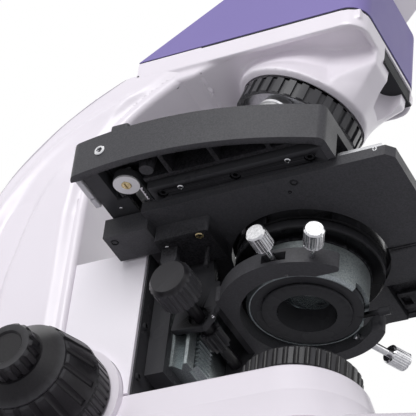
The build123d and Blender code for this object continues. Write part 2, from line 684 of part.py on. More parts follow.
def condenser_dovetail():
    """Zinc guide with a V groove down each side and the rack in its front."""
    h = DOVETAIL_HALF
    g = DOVETAIL_GROOVE
    mid = (DOVETAIL_FRONT + CARRIER_Y[0]) / 2
    outline = Polyline([(-h, CARRIER_Y[0]), (-h, mid + g / 1.4), (-h + g, mid), (-h, mid - g / 1.4),
                        (-h, DOVETAIL_FRONT), (h, DOVETAIL_FRONT), (h, mid - g / 1.4), (h - g, mid),
                        (h, mid + g / 1.4), (h, CARRIER_Y[0])], close=True)
    bar = extrude(Pos(0, 0, DOVETAIL_BOTTOM) * make_face(outline), BRACKET_BOTTOM - DOVETAIL_BOTTOM)
    bar -= block((RACK_X[0] - 1, RACK_X[1] + 1), (DOVETAIL_FRONT - 1, DOVETAIL_FRONT + 2),
                 (DOVETAIL_BOTTOM - 1, BRACKET_BOTTOM + 1))
    pitch = condenser_pitch()
    teeth = rack(pitch, RACK_X, (CONDENSER_KNOB_Z - 9 * pitch, CONDENSER_KNOB_Z + 11 * pitch),
                 condenser_rack_y(), DOVETAIL_FRONT + 3, -1)
    return bar + teeth


def condenser_pitch():
    return 2 * math.pi * CONDENSER_PITCH_RADIUS / CONDENSER_TEETH


def condenser_rack_y():
    return CONDENSER_KNOB_Y + CONDENSER_PITCH_RADIUS + 0.15


def stage_plate():
    z = (PLATE_BOTTOM, PLATE_BOTTOM + PLATE_THICK)
    plate = block((-PLATE_HALF, PLATE_HALF), (PLATE_FRONT, PLATE_BACK), z)
    front = plate.edges().filter_by(Axis.Z).group_by(Axis.Y)[0]
    plate = chamfer(front, 4)
    plate -= rod(PLATE_HOLE, (z[0] - 1, z[1] + 1))
    plate -= block((NOTCH_X, PLATE_HALF + 1), (PLATE_FRONT + 14, NOTCH_Y), (z[0] - 1, z[0] + NOTCH_DEPTH))
    plate += block((NOTCH_X + 11, NOTCH_X + 24), (NOTCH_Y - 14, NOTCH_Y - 1), (z[0] + 2, z[0] + NOTCH_DEPTH))
    plate -= block((NOTCH_X + 14, NOTCH_X + 21), (NOTCH_Y - 7, NOTCH_Y - 2), (z[0] + 1, z[0] + NOTCH_DEPTH))
    lines = [block((x, x + 0.6), (PLATE_FRONT - 1, -PLATE_HOLE), (z[0] - 1, z[0] + 0.4)) for x in (4.4, 6.2)]
    plate -= lines
    rear = block((-58, -HOUSING_HALF - SIDE_PLATE - 2), (PLATE_BACK - 1, PLATE_BACK + 24.5), (146, z[1]))
    return plate + rear


def stage_rails():
    """Pair of bright cross-roller rails along the plate's top edges."""
    z0 = PLATE_BOTTOM + PLATE_THICK
    rail = block((PLATE_HALF - RAIL_WIDTH, PLATE_HALF), (PLATE_FRONT + 6, PLATE_BACK - 1),
                 (z0, z0 + RAIL_HEIGHT))
    return Compound([rail, mirror(rail, Plane.YZ)])


def casting_plan(inset=0.0):
    """Outline of the moving stage from above, with bulging sides."""
    front = CASTING_FRONT + inset
    back = CASTING_BACK - inset
    corner, bulge, rear = (CASTING_HALF[0] - inset, CASTING_HALF[1] - inset, CASTING_HALF[2] - inset)
    left = ThreePointArc((-corner, front), (-bulge, CASTING_BULGE_Y), (-rear, back))
    right = ThreePointArc((corner, front), (bulge, CASTING_BULGE_Y), (rear, back))
    sheet = make_face(Wire([left, Line((-rear, back), (rear, back)), right,
                            Line((-corner, front), (corner, front))]))
    sheet = fillet(sheet.vertices().filter_by(lambda v: v.X > 0), CASTING_CORNERS[1])
    return fillet([v for v in sheet.vertices() if v.X < 0 and abs(v.X) > corner - 1], CASTING_CORNERS[0])


def stage_casting():
    """Moving stage: a top plate with a hollow, ribbed wing under its left side."""
    under = STAGE_TOP - TOP_THICK
    top = extrude(Pos(0, 0, under) * casting_plan(), TOP_THICK) & block((-110, 0), (-60, 110), (0, 200))
    bevelled = loft([Pos(0, 0, under) * casting_plan(RIGHT_BEVEL), Pos(0, 0, STAGE_TOP) * casting_plan()],
                    ruled=True)
    top += bevelled & block((0, 110), (-60, 110), (0, 200))
    wing = extrude(Pos(0, 0, WING_BOTTOM) * casting_plan(), under - WING_BOTTOM)
    wing -= extrude(Pos(0, 0, WING_BOTTOM - 1) * casting_plan(WING_WALL), under - WING_BOTTOM + 2)
    wing -= block((-66, 110), (CASTING_FRONT - 1, CASTING_BACK + 1), (WING_BOTTOM - 1, under + 1))
    wing -= block((-93, 110), (CASTING_BACK - 9, CASTING_BACK + 1), (WING_BOTTOM - 1, under + 1))
    web = block((-79, -STRIP_X[0]), STRIP_Y, (STRIP_Z[1], under))
    right_web = block((RIGHT_STRIP_X[0], 75), (DRIVE_Y + 15.5, STRIP_Y[1]), (STRIP_Z[1], under))
    ribs = [block((-100, -78), (y, y + 2.5), (158.5, under + 1)) for y in (-14, 14, 40)]
    ribs.append(block((-80.5, -78), (-41, 57), (158.5, under + 1)))
    boss = Pos(-88, 51, (156.5 + under) / 2) * Cone(3.6, 5.4, under - 156.5)
    inner = extrude(Pos(0, 0, WING_BOTTOM) * casting_plan(WING_WALL - 0.5), STAGE_TOP - WING_BOTTOM - 1)
    whole = top + wing + right_web + ((web + ribs + boss) & inner)
    window = Pos(0, WINDOW_Y, under - 1) * RectangleRounded(2 * WINDOW_HALF[0], 2 * WINDOW_HALF[1], 4)
    whole -= extrude(window, TOP_THICK + 2)
    slot = Pos(0, (HOLDER_SLOT_Y[0] + HOLDER_SLOT_Y[1]) / 2, under - 1) * \
        SlotOverall(124, HOLDER_SLOT_Y[1] - HOLDER_SLOT_Y[0])
    return whole - extrude(slot, TOP_THICK + 2)


def guide_strips():
    """Screwed strips that run along the rails; the right one is narrow."""
    strip = block((-STRIP_X[1], -STRIP_X[0]), STRIP_Y, STRIP_Z)
    for y in (-29.7, 10.7, 51.0):
        strip -= rod(2.8, (STRIP_Z[0] - 1, STRIP_Z[0] + 3.2), -69.4, y)
    return Compound([strip, block(RIGHT_STRIP_X, STRIP_Y, STRIP_Z)])


def x_guide_rail():
    """Cross rail with a groove that the specimen holder's shoe runs in."""
    under = STAGE_TOP - TOP_THICK
    y0, y1 = GUIDE_Y
    groove = (SHOE_Z[0] - FREE, SHOE_Z[1] + FREE)
    outline = Polyline([(y0, GUIDE_BOTTOM), (y1, GUIDE_BOTTOM), (y1, under), (y0, under), (y0, groove[1]),
                        (y0 + 2.6, groove[1]), (y0 + 2.6, groove[0]), (y0, groove[0])], close=True)
    rail = side_profile(outline, GUIDE_HALF)
    return rail + block((-68, 68), (71.8, y0), (GUIDE_BOTTOM, GUIDE_BOTTOM + 1))


def belt_outline(radius):
    run = Pos(0, PULLEY_Y) * Rectangle(2 * PULLEY_X, 2 * radius)
    return run + [Pos(x, PULLEY_Y) * Circle(radius) for x in (-PULLEY_X, PULLEY_X)]


def drive_belt():
    """Closed belt round both pulleys."""
    ring = belt_outline(PULLEY_RADIUS + 1.2) - belt_outline(PULLEY_RADIUS + 0.2)
    return extrude(Pos(0, 0, PULLEY_Z[0] + 1) * ring, 4)


def belt_pulley(x):
    """Flanged pulley on a stud from the casting."""
    z0, z1 = PULLEY_Z
    pulley = rod(PULLEY_RADIUS + 0.9, (z0 - 0.2, z0 + 0.8)) + rod(PULLEY_RADIUS, (z0, z1)) \
        + rod(2, (z1, STAGE_TOP - TOP_THICK - RUNNING))
    pulley -= block((-3.2, 3.2), (-0.5, 0.5), (z0 - 1, z0 + 0.5))
    return Pos(x, PULLEY_Y, 0) * pulley


def stage_drive_housing():
    """Block at the right front corner that carries the hanging coaxial knobs."""
    under = STAGE_TOP - TOP_THICK
    low = DRIVE_BOTTOM
    body = block((DRIVE_X - 8, DRIVE_X + 7), (DRIVE_Y - 12, DRIVE_Y + 15), (low, under))
    body = fillet(body.edges().filter_by(Axis.Z), 5)
    body += rod(9, (low - 4, low), DRIVE_X, DRIVE_Y)
    return body - rod(4 + RUNNING, (low - 5, low + 12), DRIVE_X, DRIVE_Y)


def y_travel_knob():
    top = DRIVE_BOTTOM - 4.3
    knob = turned([(2.5 + RUNNING, top - 23), (11, top - 23), (12, top - 22), (12, top - 1), (11, top), (4, top),
                   (4, DRIVE_BOTTOM + 11), (2.5 + RUNNING, DRIVE_BOTTOM + 11)])
    knob -= grooves(24, 1.0, (top - 21, top - 2), 12.4)
    return Pos(DRIVE_X, DRIVE_Y, 0) * knob


def x_travel_knob():
    top = DRIVE_BOTTOM - 27.6
    knob = turned([(0, top - 22), (8.5, top - 22), (9.5, top - 21), (9.5, top - 1), (8.5, top), (2.5, top),
                   (2.5, DRIVE_BOTTOM + 10.5), (0, DRIVE_BOTTOM + 10.5)])
    knob -= grooves(20, 0.9, (top - 20, top - 2), 9.8)
    return Pos(DRIVE_X, DRIVE_Y, 0) * knob


def specimen_holder():
    """Arm on the stage with a fixed claw, a stem through the slot and a shoe in the rail."""
    z = (STAGE_TOP + FREE, STAGE_TOP + FREE + HOLDER_THICK)
    half = SLIDE_LENGTH / 2
    rear = SLIDE_WIDTH / 2
    bar = block((-100, half + 12), (58, 68), z)
    body = block((-half - 6, half + 12), (rear, rear + 14), z)
    link = block((-14, 14), (rear + 13, 59), z)
    claw = block((half, half + 12), (-rear + 4, rear + 13), z)
    tip = block((half - 4, half + 1), (-rear - 5, -rear), z) + block((half - 4, half + 12),
                                                                   (-rear - 5, -rear + 5), z)
    tip -= block((half - 5, half), (-rear, rear), z)
    frame = bar + body + link + claw + tip + block((-12, 12), (67, 74), z)
    frame = fillet(frame.edges().filter_by(Axis.Z).filter_by(lambda e: e.center().Y > 50), 1.5)
    stem = block((-12, 12), (HOLDER_SLOT_Y[0] + FREE, HOLDER_SLOT_Y[1] - FREE), (SHOE_Z[0], z[0]))
    shoe = block((-12, 12), (HOLDER_SLOT_Y[1] - 2, GUIDE_Y[0] + 2.3), SHOE_Z)
    belt_face = PULLEY_Y + PULLEY_RADIUS + 0.2
    shoe += block((-8, 8), (belt_face - 3.5, belt_face - FREE / 2), (PULLEY_Z[0] + 1, SHOE_Z[0]))
    pocket = block((-half - 8, -half + 9), (rear - 1, rear + 15), (z[0] - 1, z[0] + CLIP_THICK + FREE))
    frame -= pocket
    pivot = rod(2, (z[0], z[1] + 1.5), -half - 1, rear + 8)
    screws = [rod(5, (z[1], z[1] + 2.5), x, 64) for x in (-9, 9)]
    return frame + stem + shoe + pivot + screws


def specimen_clip():
    """Spring finger that presses the slide against the fixed claw."""
    z0 = STAGE_TOP + FREE
    half = SLIDE_LENGTH / 2
    rear = SLIDE_WIDTH / 2
    px, py = -half - 1, rear + 8
    finger = ThreePointArc((px, py), (px - 13, 2), (-half + 2, -rear - 3))
    strip = make_face(Wire([finger, Line(finger @ 1, (-half - 3, -rear - 4)),
                            ThreePointArc((-half - 3, -rear - 4), (px - 19, 2), (px - 6, py)),
                            Line((px - 6, py), (px, py))]))
    hub = Pos(px, py) * Circle(5)
    outline = strip + hub - Pos(px, py) * Circle(2 + RUNNING)
    lever = Pos(px + 4, py + 5) * Circle(4)
    return extrude(Pos(0, 0, z0) * (outline + lever - Pos(px, py) * Circle(2 + RUNNING)), CLIP_THICK)


# Condenser

def condenser_carriage():
    """Two tapered side plates that ride on the zinc guide, joined by a front web."""
    inner = DOVETAIL_HALF + FREE
    outer = inner + CHEEK_THICK
    back = CARRIER_Y[0] - 1
    low = CARRIAGE_BOTTOM
    top = CARRIAGE_TOP
    front = CARRIAGE_FRONT
    outline = make_face(Polyline([(back, low + 2), (back - 5.5, top - 14), (back - 8.5, top), (front + 6, top),
                                  (front + 3, top - 20), (front, top - 21), (front, low + 12.5),
                                  (front + 1.5, low + 10.5), (front + 2.5, low + 6), (front + 7, low)],
                                 close=True))
    side = Pos((inner + outer) / 2, 0, 0) * extrude(Plane.YZ * outline, CHEEK_THICK / 2, both=True)
    mid = (DOVETAIL_FRONT + CARRIER_Y[0]) / 2
    g = DOVETAIL_GROOVE - 0.6
    tongue = make_face(Polyline([(inner + 1, mid - g / 1.4), (inner - g, mid), (inner + 1, mid + g / 1.4)],
                                close=True))
    side += extrude(Pos(0, 0, low + 4) * tongue, top - 14 - low)
    web = block((-inner - 1, inner + 1), (front, front + 3.4), (low + 12.5, top - 21))
    body = mirrored(side) + web
    bore = rod_x(CONDENSER_SHAFT + RUNNING, (-outer - 1, outer + 1), CONDENSER_KNOB_Y, CONDENSER_KNOB_Z)
    window = rod_x(5.5, (-outer - 1, -outer + 1.5), CONDENSER_KNOB_Y, CONDENSER_KNOB_Z)
    return body - bore - window


def condenser_knob():
    """Ribbed knob on its shaft, with the pinion that rolls on the rack."""
    face = CONDENSER_KNOB_FACE
    r = CONDENSER_KNOB_RADIUS
    inner = face - CONDENSER_KNOB_LENGTH
    knob = turned([(0, inner), (r, inner), (r, face - 3), (r - 2.2, face), (0, face)])
    knob -= grooves(22, 1.0, (inner - 1, face - 1.5), r + 0.35)
    outer = DOVETAIL_HALF + FREE + CHEEK_THICK
    shaft = rod(CONDENSER_SHAFT, (-outer, inner))
    length = RACK_X[1] - RACK_X[0] - 1
    teeth = gear(CONDENSER_TEETH, CONDENSER_PITCH_RADIUS, length, 0.2)
    teeth = Pos(0, 0, -(RACK_X[0] + RACK_X[1]) / 2) * Rot(0, 0, 180 / CONDENSER_TEETH) * teeth
    return Pos(0, CONDENSER_KNOB_Y, CONDENSER_KNOB_Z) * Rot(0, -90, 0) * (knob + shaft + teeth)


def condenser_fork():
    """Open-fronted ring on a short root that is screwed to the carriage."""
    z0, z1 = FORK_Z
    root = CARRIAGE_FRONT
    left = Circle(FORK_OUTER) - Pos(FORK_OUTER, 0) * Rectangle(2 * FORK_OUTER, 2 * FORK_OUTER)
    right = Circle(FORK_RIGHT_OUTER) - Pos(-FORK_OUTER, 0) * Rectangle(2 * FORK_OUTER, 2 * FORK_OUTER)
    outline = left + right + Pos(0, root / 2) * Rectangle(2 * FORK_ROOT_HALF, root)
    outline -= Pos(0, root + 30) * Rectangle(200, 60)
    outline -= Circle(FORK_INNER)
    outline -= Pos((FORK_GAP[0] + FORK_GAP[1]) / 2, -40) * Rectangle(FORK_GAP[1] - FORK_GAP[0], 80)
    body = extrude(Pos(0, 0, z0) * outline, z1 - z0)
    body = fillet(body.edges().filter_by(Axis.Z).filter_by(lambda e: e.center().Y < -10), 2.5)
    body -= clamp_slot()
    for angle in CENTRING_ANGLES:
        body -= centring_place(angle) * rod(2 + RUNNING, (FORK_INNER - 2, FORK_OUTER + 6))
    return body


CENTRING_ANGLES = (180 + 27.0, -27.0)
CENTRING_Z = (FORK_Z[0] + FORK_Z[1]) / 2
CLAMP_Y = -1.5


def centring_place(angle):
    """Frame whose +Z points out along a centring screw, at an angle from +X."""
    return Location((0, 0, CENTRING_Z)) * Rot(0, 0, angle) * Rot(0, 90, 0)


def clamp_slot():
    """Slot in the fork's left arm that the clamp screw passes through."""
    return block((-FORK_OUTER - 6, -FORK_INNER + 6), (CLAMP_Y - 6.5, CLAMP_Y + 6.5),
                 (CENTRING_Z - 2.5, CENTRING_Z + 2.5))


def knurled_screw(shank_radius, start, end, head):
    """Screw along +Z from start to end with a knurled head."""
    shank = rod(shank_radius, (start, end))
    cap = turned([(0, end), (SCREW_HEAD_RADIUS - 0.8, end), (SCREW_HEAD_RADIUS, end + 0.8),
                  (SCREW_HEAD_RADIUS, end + head - 0.8), (SCREW_HEAD_RADIUS - 0.8, end + head), (0, end + head)])
    return shank + (cap - grooves(24, 0.5, (end + 1, end + head - 1.5), SCREW_HEAD_RADIUS + 0.25))


def centring_screw(angle):
    screw = knurled_screw(2, ZINC_RADIUS + FREE, FORK_OUTER + 9, SCREW_HEAD_LENGTH)
    return centring_place(angle) * screw


def condenser_clamp_screw():
    screw = knurled_screw(2.2, ZINC_RADIUS + 1, FORK_OUTER + 9, SCREW_HEAD_LENGTH)
    return Pos(0, CLAMP_Y, CENTRING_Z) * Rot(0, -90, 0) * screw


def condenser_ring():
    """Zinc shell held between the centring screws, notched at the bottom for the iris lever."""
    z0, z1 = ZINC_Z
    shell = turned([(IRIS_RING_RADIUS + FREE, z0), (ZINC_RADIUS - 1.5, z0), (ZINC_RADIUS, z0 + 1.5),
                    (ZINC_RADIUS, z1), (IRIS_RING_RADIUS + FREE, z1)])
    notch = [Rot(0, 0, angle) * block((-4, 4), (-ZINC_RADIUS - 2, -IRIS_RING_RADIUS + 3),
                                      (z0 - 1, IRIS_RING_Z[1] + 1)) for angle in range(-8, 48, 8)]
    return shell - notch


def condenser_body():
    """Two-tier body with the filter slot and the taper up to the top lens."""
    z0, z1 = BODY_Z
    low, high = BODY_RADIUS
    bore = CONDENSER_OPENING + 1
    neck = ZINC_RADIUS + 1
    body = turned([(bore, ZINC_Z[1]), (neck, ZINC_Z[1]), (neck, z0), (low - 1, z0), (low, z0 + 1),
                   (low, z0 + 5), (low - 1, z0 + 5.6),
                   (low - 1, z0 + 6.4), (high, z0 + 7.2), (high, z1 - 1), (high - 1, z1), (25, z1),
                   (23, z1 + 6), (19.5, z1 + 9), (19.5, CONDENSER_TOP - 1.5), (18.5, CONDENSER_TOP),
                   (TOP_LENS_RADIUS, CONDENSER_TOP), (TOP_LENS_RADIUS, CONDENSER_TOP - 5), (bore, z1)])
    slot = block((-high - 2, -high + 9), (-26, 8), (z1 - 8.5, z1 - 3.5))
    return body - slot


def condenser_lenses():
    """Top lens, and the lower lens seen through the opening."""
    r = TOP_LENS_RADIUS - RUNNING
    top = turned([(0, CONDENSER_TOP - 4.6), (r - 1.5, CONDENSER_TOP - 4.6), (r, CONDENSER_TOP - 3),
                  (r, CONDENSER_TOP - 0.6), (0, CONDENSER_TOP - 0.3)])
    edge = CONDENSER_OPENING - RUNNING
    low = turned([(0, 128.5), (edge * 0.5, 129), (edge * 0.85, 130.4), (edge, 131.6), (edge, 134), (0, 134)])
    return Compound([top, low])


def condenser_lower_ring():
    """Lower cell inside the zinc shell; its groove holds the iris ring."""
    z0 = LOWER_RING_BOTTOM
    outer = LOWER_RING_RADIUS
    flange = IRIS_RING_RADIUS + FREE
    i0, i1 = IRIS_RING_Z
    return turned([(CONDENSER_OPENING, z0), (outer - 0.6, z0), (outer, z0 + 0.6), (outer, i0 - FREE),
                   (iris_neck(), i0 - FREE), (iris_neck(), i1 + FREE), (flange, i1 + FREE),
                   (flange, i1 + 4), (outer, i1 + 6), (outer, ZINC_Z[1]), (CONDENSER_OPENING, ZINC_Z[1])])


def iris_neck():
    return LOWER_RING_RADIUS - 2.4


def iris_lever():
    """Ring that works the aperture iris, with its lever pointing to the front."""
    i0, i1 = IRIS_RING_Z
    ring = rod(IRIS_RING_RADIUS, (i0, i1)) - rod(iris_neck() + RUNNING, (i0 - 1, i1 + 1))
    lever = block((13.8, 16.2), (-35, -23), (i0 + 0.8, i0 + 2.6)) \
        + Pos(15, -36, i0 + 1.7) * Rot(90, 0, 0) * Cylinder(2.2, 6)
    return ring + lever


# Nosepiece

def nosepiece_mount():
    """Fixed ring and pin in the recess that the turret hangs on."""
    top = GRIP_HEIGHT + 9
    ring = turned([(LIGHT_BORE + 12, GRIP_HEIGHT + FREE), (RECESS_RADIUS - 4, GRIP_HEIGHT + FREE),
                   (RECESS_RADIUS - FREE, top - 3), (RECESS_RADIUS - FREE, top), (0, top), (0, top - 3),
                   (LIGHT_BORE + 12, top - 3)])
    pin = rod(3.5, (0, top - 2))
    mount = turret_frame() * (ring + pin)
    return mount - rod(LIGHT_BORE, (200, NOSE_TOP + 1))


def objective_frame(index):
    """Frame on an objective's seat; +Z points back up its own axis to the apex."""
    apex = turret_frame() * Location((0, 0, TURRET_FACE))
    turn = apex * Rot(0, 0, 90 * index) * Rot(-TURRET_TILT, 0, 0)
    return turn * Location((0, 0, -OBJECTIVE_SEAT))


def nosepiece_turret():
    """Turret: a low cone with four threaded seats."""
    tilt = math.radians(TURRET_TILT)
    seat_z = TURRET_FACE - OBJECTIVE_SEAT * math.cos(tilt)
    seat_r = OBJECTIVE_SEAT * math.sin(tilt)
    centre = seat_z - seat_r * math.tan(tilt)
    edge = seat_z + (TURRET_RADIUS - seat_r) * math.tan(tilt)
    cone = turned([(0, centre + 1), (2.5, centre + 1), (TURRET_RADIUS, edge), (TURRET_RADIUS, GRIP_HEIGHT),
                   (0, GRIP_HEIGHT)])
    cone -= rod(3.5 + RUNNING, (-0.5, GRIP_HEIGHT + 1))
    body = turret_frame() * cone
    seats = [objective_frame(i) * rod(10.15, (-4, 30)) for i in range(4)]
    return body - seats


def turret_grip_ring():
    ring = rod(GRIP_RADIUS, (0.6, GRIP_HEIGHT)) - rod(TURRET_RADIUS, (-1, GRIP_HEIGHT + 1))
    ring -= [Rot(0, 0, i * 360 / GRIP_RIBS) * Pos(GRIP_RADIUS + 0.2, 0, 5) * Box(3.6, 3.4, 20)
             for i in range(GRIP_RIBS)]
    return turret_frame() * ring


# Length below the seat, and radii of the sleeve and the tip, for each objective.
OBJECTIVES = {
    "objective_4x": (29.0, 11.4, 9.0),
    "objective_10x": (36.0, 11.4, 7.0),
    "objective_40x": (44.3, 11.4, 5.2),
    "objective_100x": (44.8, 11.4, 4.4),
}


def objective(index, length, sleeve, tip):
    """Objective below its seat, with its threaded neck above."""
    cone = min(14.0, length * 0.34)
    body = turned([(0, -length), (tip, -length), (tip + 0.8, -length + 1), (sleeve - 2.4, -length + cone),
                   (sleeve - 2.4, -length + cone + 2), (sleeve, -length + cone + 2.6), (sleeve, -8),
                   (sleeve - 0.8, -7.2), (sleeve - 0.8, -6), (sleeve, -5.2), (sleeve, 0), (10.1, 0),
                   (10.1, 4.5), (7, 4.5), (7, 2), (0, 2)])
    return objective_frame(index) * body


# Head

def head_axis_frame():
    """Frame of the eye tubes' hinge: +Z out towards the user, origin on the head's front plane."""
    tilt = math.radians(HEAD_TILT)
    y = -HEAD_REACH * math.cos(tilt)
    z = COVER_TOP + HEAD_PIVOT_RISE + HEAD_REACH * math.sin(tilt)
    return Location((0, y, z), (90 - HEAD_TILT, 0, 0))


def along(frame, y, z):
    """(y, z) of a point given in a frame that leans about X."""
    p = (frame * Location((0, y, z))).position
    return (p.Y, p.Z)


def head_housing():
    """Wedge-shaped housing on a round foot."""
    frame = head_axis_frame()
    low = COVER_TOP + SEAT_RING_HEIGHT + 1
    outline = [(-30, low), (30, low), (36, low + 18), (16, low + 44), along(frame, 24, 0),
               along(frame, -26, 0)]
    body = side_polygon(outline, HEAD_HALF_WIDTH)
    sides = body.edges().filter_by(lambda e: abs(e.center().X) > HEAD_HALF_WIDTH - 1
                                   and e.center().Y > -25 and e.center().Z > low + 1)
    body = fillet(sides, 8)
    foot = rod(FOOT_RING_RADIUS, (COVER_TOP, low + 1))
    hub = frame * rod(4, (-2, 2 * HUB_LAYER + 2)) + frame * rod(HUB_RADIUS - 4, (2 * HUB_LAYER + FREE * 2, 2 * HUB_LAYER + 3))
    return body + foot + hub - rod(LIGHT_BORE, (COVER_TOP - 1, COVER_TOP + HEAD_PIVOT_RISE))


def tube_angle():
    return math.degrees(math.acos(PUPIL_DISTANCE / 2 / TUBE_OFFSET))


def eyetube(side, layer):
    """Prism housing that swings about the head's hinge, with its eye tube."""
    angle = math.radians(tube_angle())
    x = side * TUBE_OFFSET * math.cos(angle)
    y = TUBE_OFFSET * math.sin(angle)
    z0 = FREE + layer * HUB_LAYER
    full = (FREE, 2 * HUB_LAYER + FREE)
    tangent = math.degrees(math.atan2(y, x))
    strap = Rot(0, 0, tangent) * Pos(TUBE_OFFSET / 2, 0) * Rectangle(TUBE_OFFSET, 2 * PRISM_RADIUS)
    arm = extrude(Pos(0, 0, z0) * (Circle(HUB_RADIUS) + strap + Pos(x, y) * Circle(PRISM_RADIUS)),
                  HUB_LAYER - FREE)
    box = rod(PRISM_RADIUS, full, x, y)
    top = full[1] + TUBE_LENGTH
    tube = Pos(x, y, 0) * turned([(0, full[1]), (PRISM_RADIUS - 1, full[1]), (TUBE_RADIUS, full[1] + 3),
                                  (TUBE_RADIUS, top), (0, top)])
    body = arm + box + tube - rod(EYEPIECE_BARREL + RUNNING, (full[1] + 5, top + 1), x, y)
    return head_axis_frame() * (body - rod(4 + RUNNING, (-1, 40)))


def eyepiece(side, lift):
    angle = math.radians(tube_angle())
    x = side * TUBE_OFFSET * math.cos(angle)
    y = TUBE_OFFSET * math.sin(angle)
    base = 2 * HUB_LAYER + FREE + TUBE_LENGTH + lift
    top = base + EYEPIECE_LENGTH
    r = EYEPIECE_RADIUS
    body = turned([(0, base - 22), (EYEPIECE_BARREL, base - 22), (EYEPIECE_BARREL, base), (r - 2, base),
                   (r, base + 3), (r, top - 8), (EYECUP_RADIUS, top - 6), (EYECUP_RADIUS - 1, top - 1),
                   (EYECUP_RADIUS - 2, top), (12, top - 3), (11, top - 5), (4, top - 4.2), (0, top - 4)])
    return head_axis_frame() * (Pos(x, y, 0) * body)


DIOPTRE_HEIGHT = 7.0


def dioptre_ring():
    """Ribbed ring between the left eye tube and its eyepiece."""
    angle = math.radians(tube_angle())
    z0 = 2 * HUB_LAYER + FREE + TUBE_LENGTH + 0.1
    z1 = z0 + DIOPTRE_HEIGHT - 0.2
    ring = rod(TUBE_RADIUS + 1.5, (z0, z1)) - rod(EYEPIECE_BARREL + RUNNING, (z0 - 1, z1 + 1))
    ring -= grooves(36, 0.7, (z0 + 1, z1 - 1), TUBE_RADIUS + 1.8)
    x = -TUBE_OFFSET * math.cos(angle)
    return head_axis_frame() * (Pos(x, TUBE_OFFSET * math.sin(angle), 0) * ring)


def head_lock_screw():
    start = FOOT_RING_RADIUS + FREE
    end = FOOT_RING_RADIUS + 6
    screw = rod(1.5, (start, end)) + (rod(4.5, (end, end + 9)) - grooves(18, 0.5, (end + 1, end + 8), 4.7))
    return Pos(0, 0, COVER_TOP + SEAT_RING_HEIGHT / 2) * Rot(0, 90, 0) * screw


def nodes():
    """Every sub-part by name."""
    parts = {
        "base_casting": base_casting(),
        "base_plate": base_plate(),
        "rubber_feet": rubber_feet(),
        "power_inlet": power_inlet(),
        "power_switch": power_switch(),
        "brightness_knob": brightness_knob(),
        "lamp_module": lamp_module(),
        "field_lens_mount": field_lens_mount(),
        "field_lens": field_lens(),
        "field_diaphragm_ring": field_diaphragm_ring(),
        "arm_casting": arm_casting(),
        "arm_cover": arm_cover(),
        "housing_side_plates": housing_side_plates(),
        "focus_guide_frame": focus_guide_frame(),
        "nose_slider": nose_slider(),
        "coarse_focus_knobs": coarse_focus_knobs(),
        "fine_focus_knobs": fine_focus_knobs(),
        "tension_collar": tension_collar(),
        "focus_stop_collar": focus_stop_collar(),
        "stage_carrier": stage_carrier(),
        "stage_bracket": stage_bracket(),
        "condenser_dovetail": condenser_dovetail(),
        "stage_plate": stage_plate(),
        "stage_rails": stage_rails(),
        "stage_casting": stage_casting(),
        "guide_strips": guide_strips(),
        "x_guide_rail": x_guide_rail(),
        "drive_belt": drive_belt(),
        "belt_pulley_left": belt_pulley(-PULLEY_X),
        "belt_pulley_right": belt_pulley(PULLEY_X),
        "stage_drive_housing": stage_drive_housing(),
        "y_travel_knob": y_travel_knob(),
        "x_travel_knob": x_travel_knob(),
        "specimen_holder": specimen_holder(),
        "specimen_clip": specimen_clip(),
        "condenser_carriage": condenser_carriage(),
        "condenser_knob": condenser_knob(),
        "condenser_fork": condenser_fork(),
        "condenser_ring": condenser_ring(),
        "condenser_body": condenser_body(),
        "condenser_lenses": condenser_lenses(),
        "condenser_lower_ring": condenser_lower_ring(),
        "iris_lever": iris_lever(),
        "centring_screw_left": centring_screw(CENTRING_ANGLES[0]),
        "centring_screw_right": centring_screw(CENTRING_ANGLES[1]),
        "condenser_clamp_screw": condenser_clamp_screw(),
        "nosepiece_mount": nosepiece_mount(),
        "nosepiece_turret": nosepiece_turret(),
        "turret_grip_ring": turret_grip_ring(),
        "head_housing": head_housing(),
        "head_lock_screw": head_lock_screw(),
        "eyetube_left": eyetube(-1, 0),
        "eyetube_right": eyetube(1, 1),
        "eyepiece_left": eyepiece(-1, DIOPTRE_HEIGHT),
        "eyepiece_right": eyepiece(1, 0.0),
        "dioptre_ring": dioptre_ring(),
    }
    for index, (name, sizes) in enumerate(OBJECTIVES.items()):
        parts[name] = objective(index, *sizes)
    return parts


os.makedirs("parts", exist_ok=True)
for name, shape in nodes().items():
    save(name, shape)
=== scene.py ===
import json
import math

import bmesh
import bpy
from mathutils import Matrix, Vector


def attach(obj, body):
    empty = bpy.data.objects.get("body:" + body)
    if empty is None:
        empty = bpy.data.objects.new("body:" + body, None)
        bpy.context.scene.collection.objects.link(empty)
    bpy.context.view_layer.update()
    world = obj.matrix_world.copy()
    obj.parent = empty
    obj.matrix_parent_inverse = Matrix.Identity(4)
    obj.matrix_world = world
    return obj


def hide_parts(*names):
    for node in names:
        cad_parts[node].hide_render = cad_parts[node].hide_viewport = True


MM = 0.001
AXIS_Y = -34.0          # the optical axis stands this far in front of the row's origin, in mm
IMAGE_PIXELS = 416
SENSOR = 36.0

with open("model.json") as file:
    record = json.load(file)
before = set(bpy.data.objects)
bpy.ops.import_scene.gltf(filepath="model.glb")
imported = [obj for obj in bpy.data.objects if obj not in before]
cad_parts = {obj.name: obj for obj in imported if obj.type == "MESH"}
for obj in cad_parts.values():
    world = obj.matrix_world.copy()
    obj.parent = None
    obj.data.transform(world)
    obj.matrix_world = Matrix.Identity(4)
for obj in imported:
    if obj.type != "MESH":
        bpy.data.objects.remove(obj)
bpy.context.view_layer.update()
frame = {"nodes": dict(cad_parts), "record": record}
nodes = frame["nodes"]


def place(x, y, z):
    """A point given in mm from the optical axis and the bench, in the row's frame in metres."""
    return Vector((x * MM, (y + AXIS_Y) * MM, z * MM))


# Materials

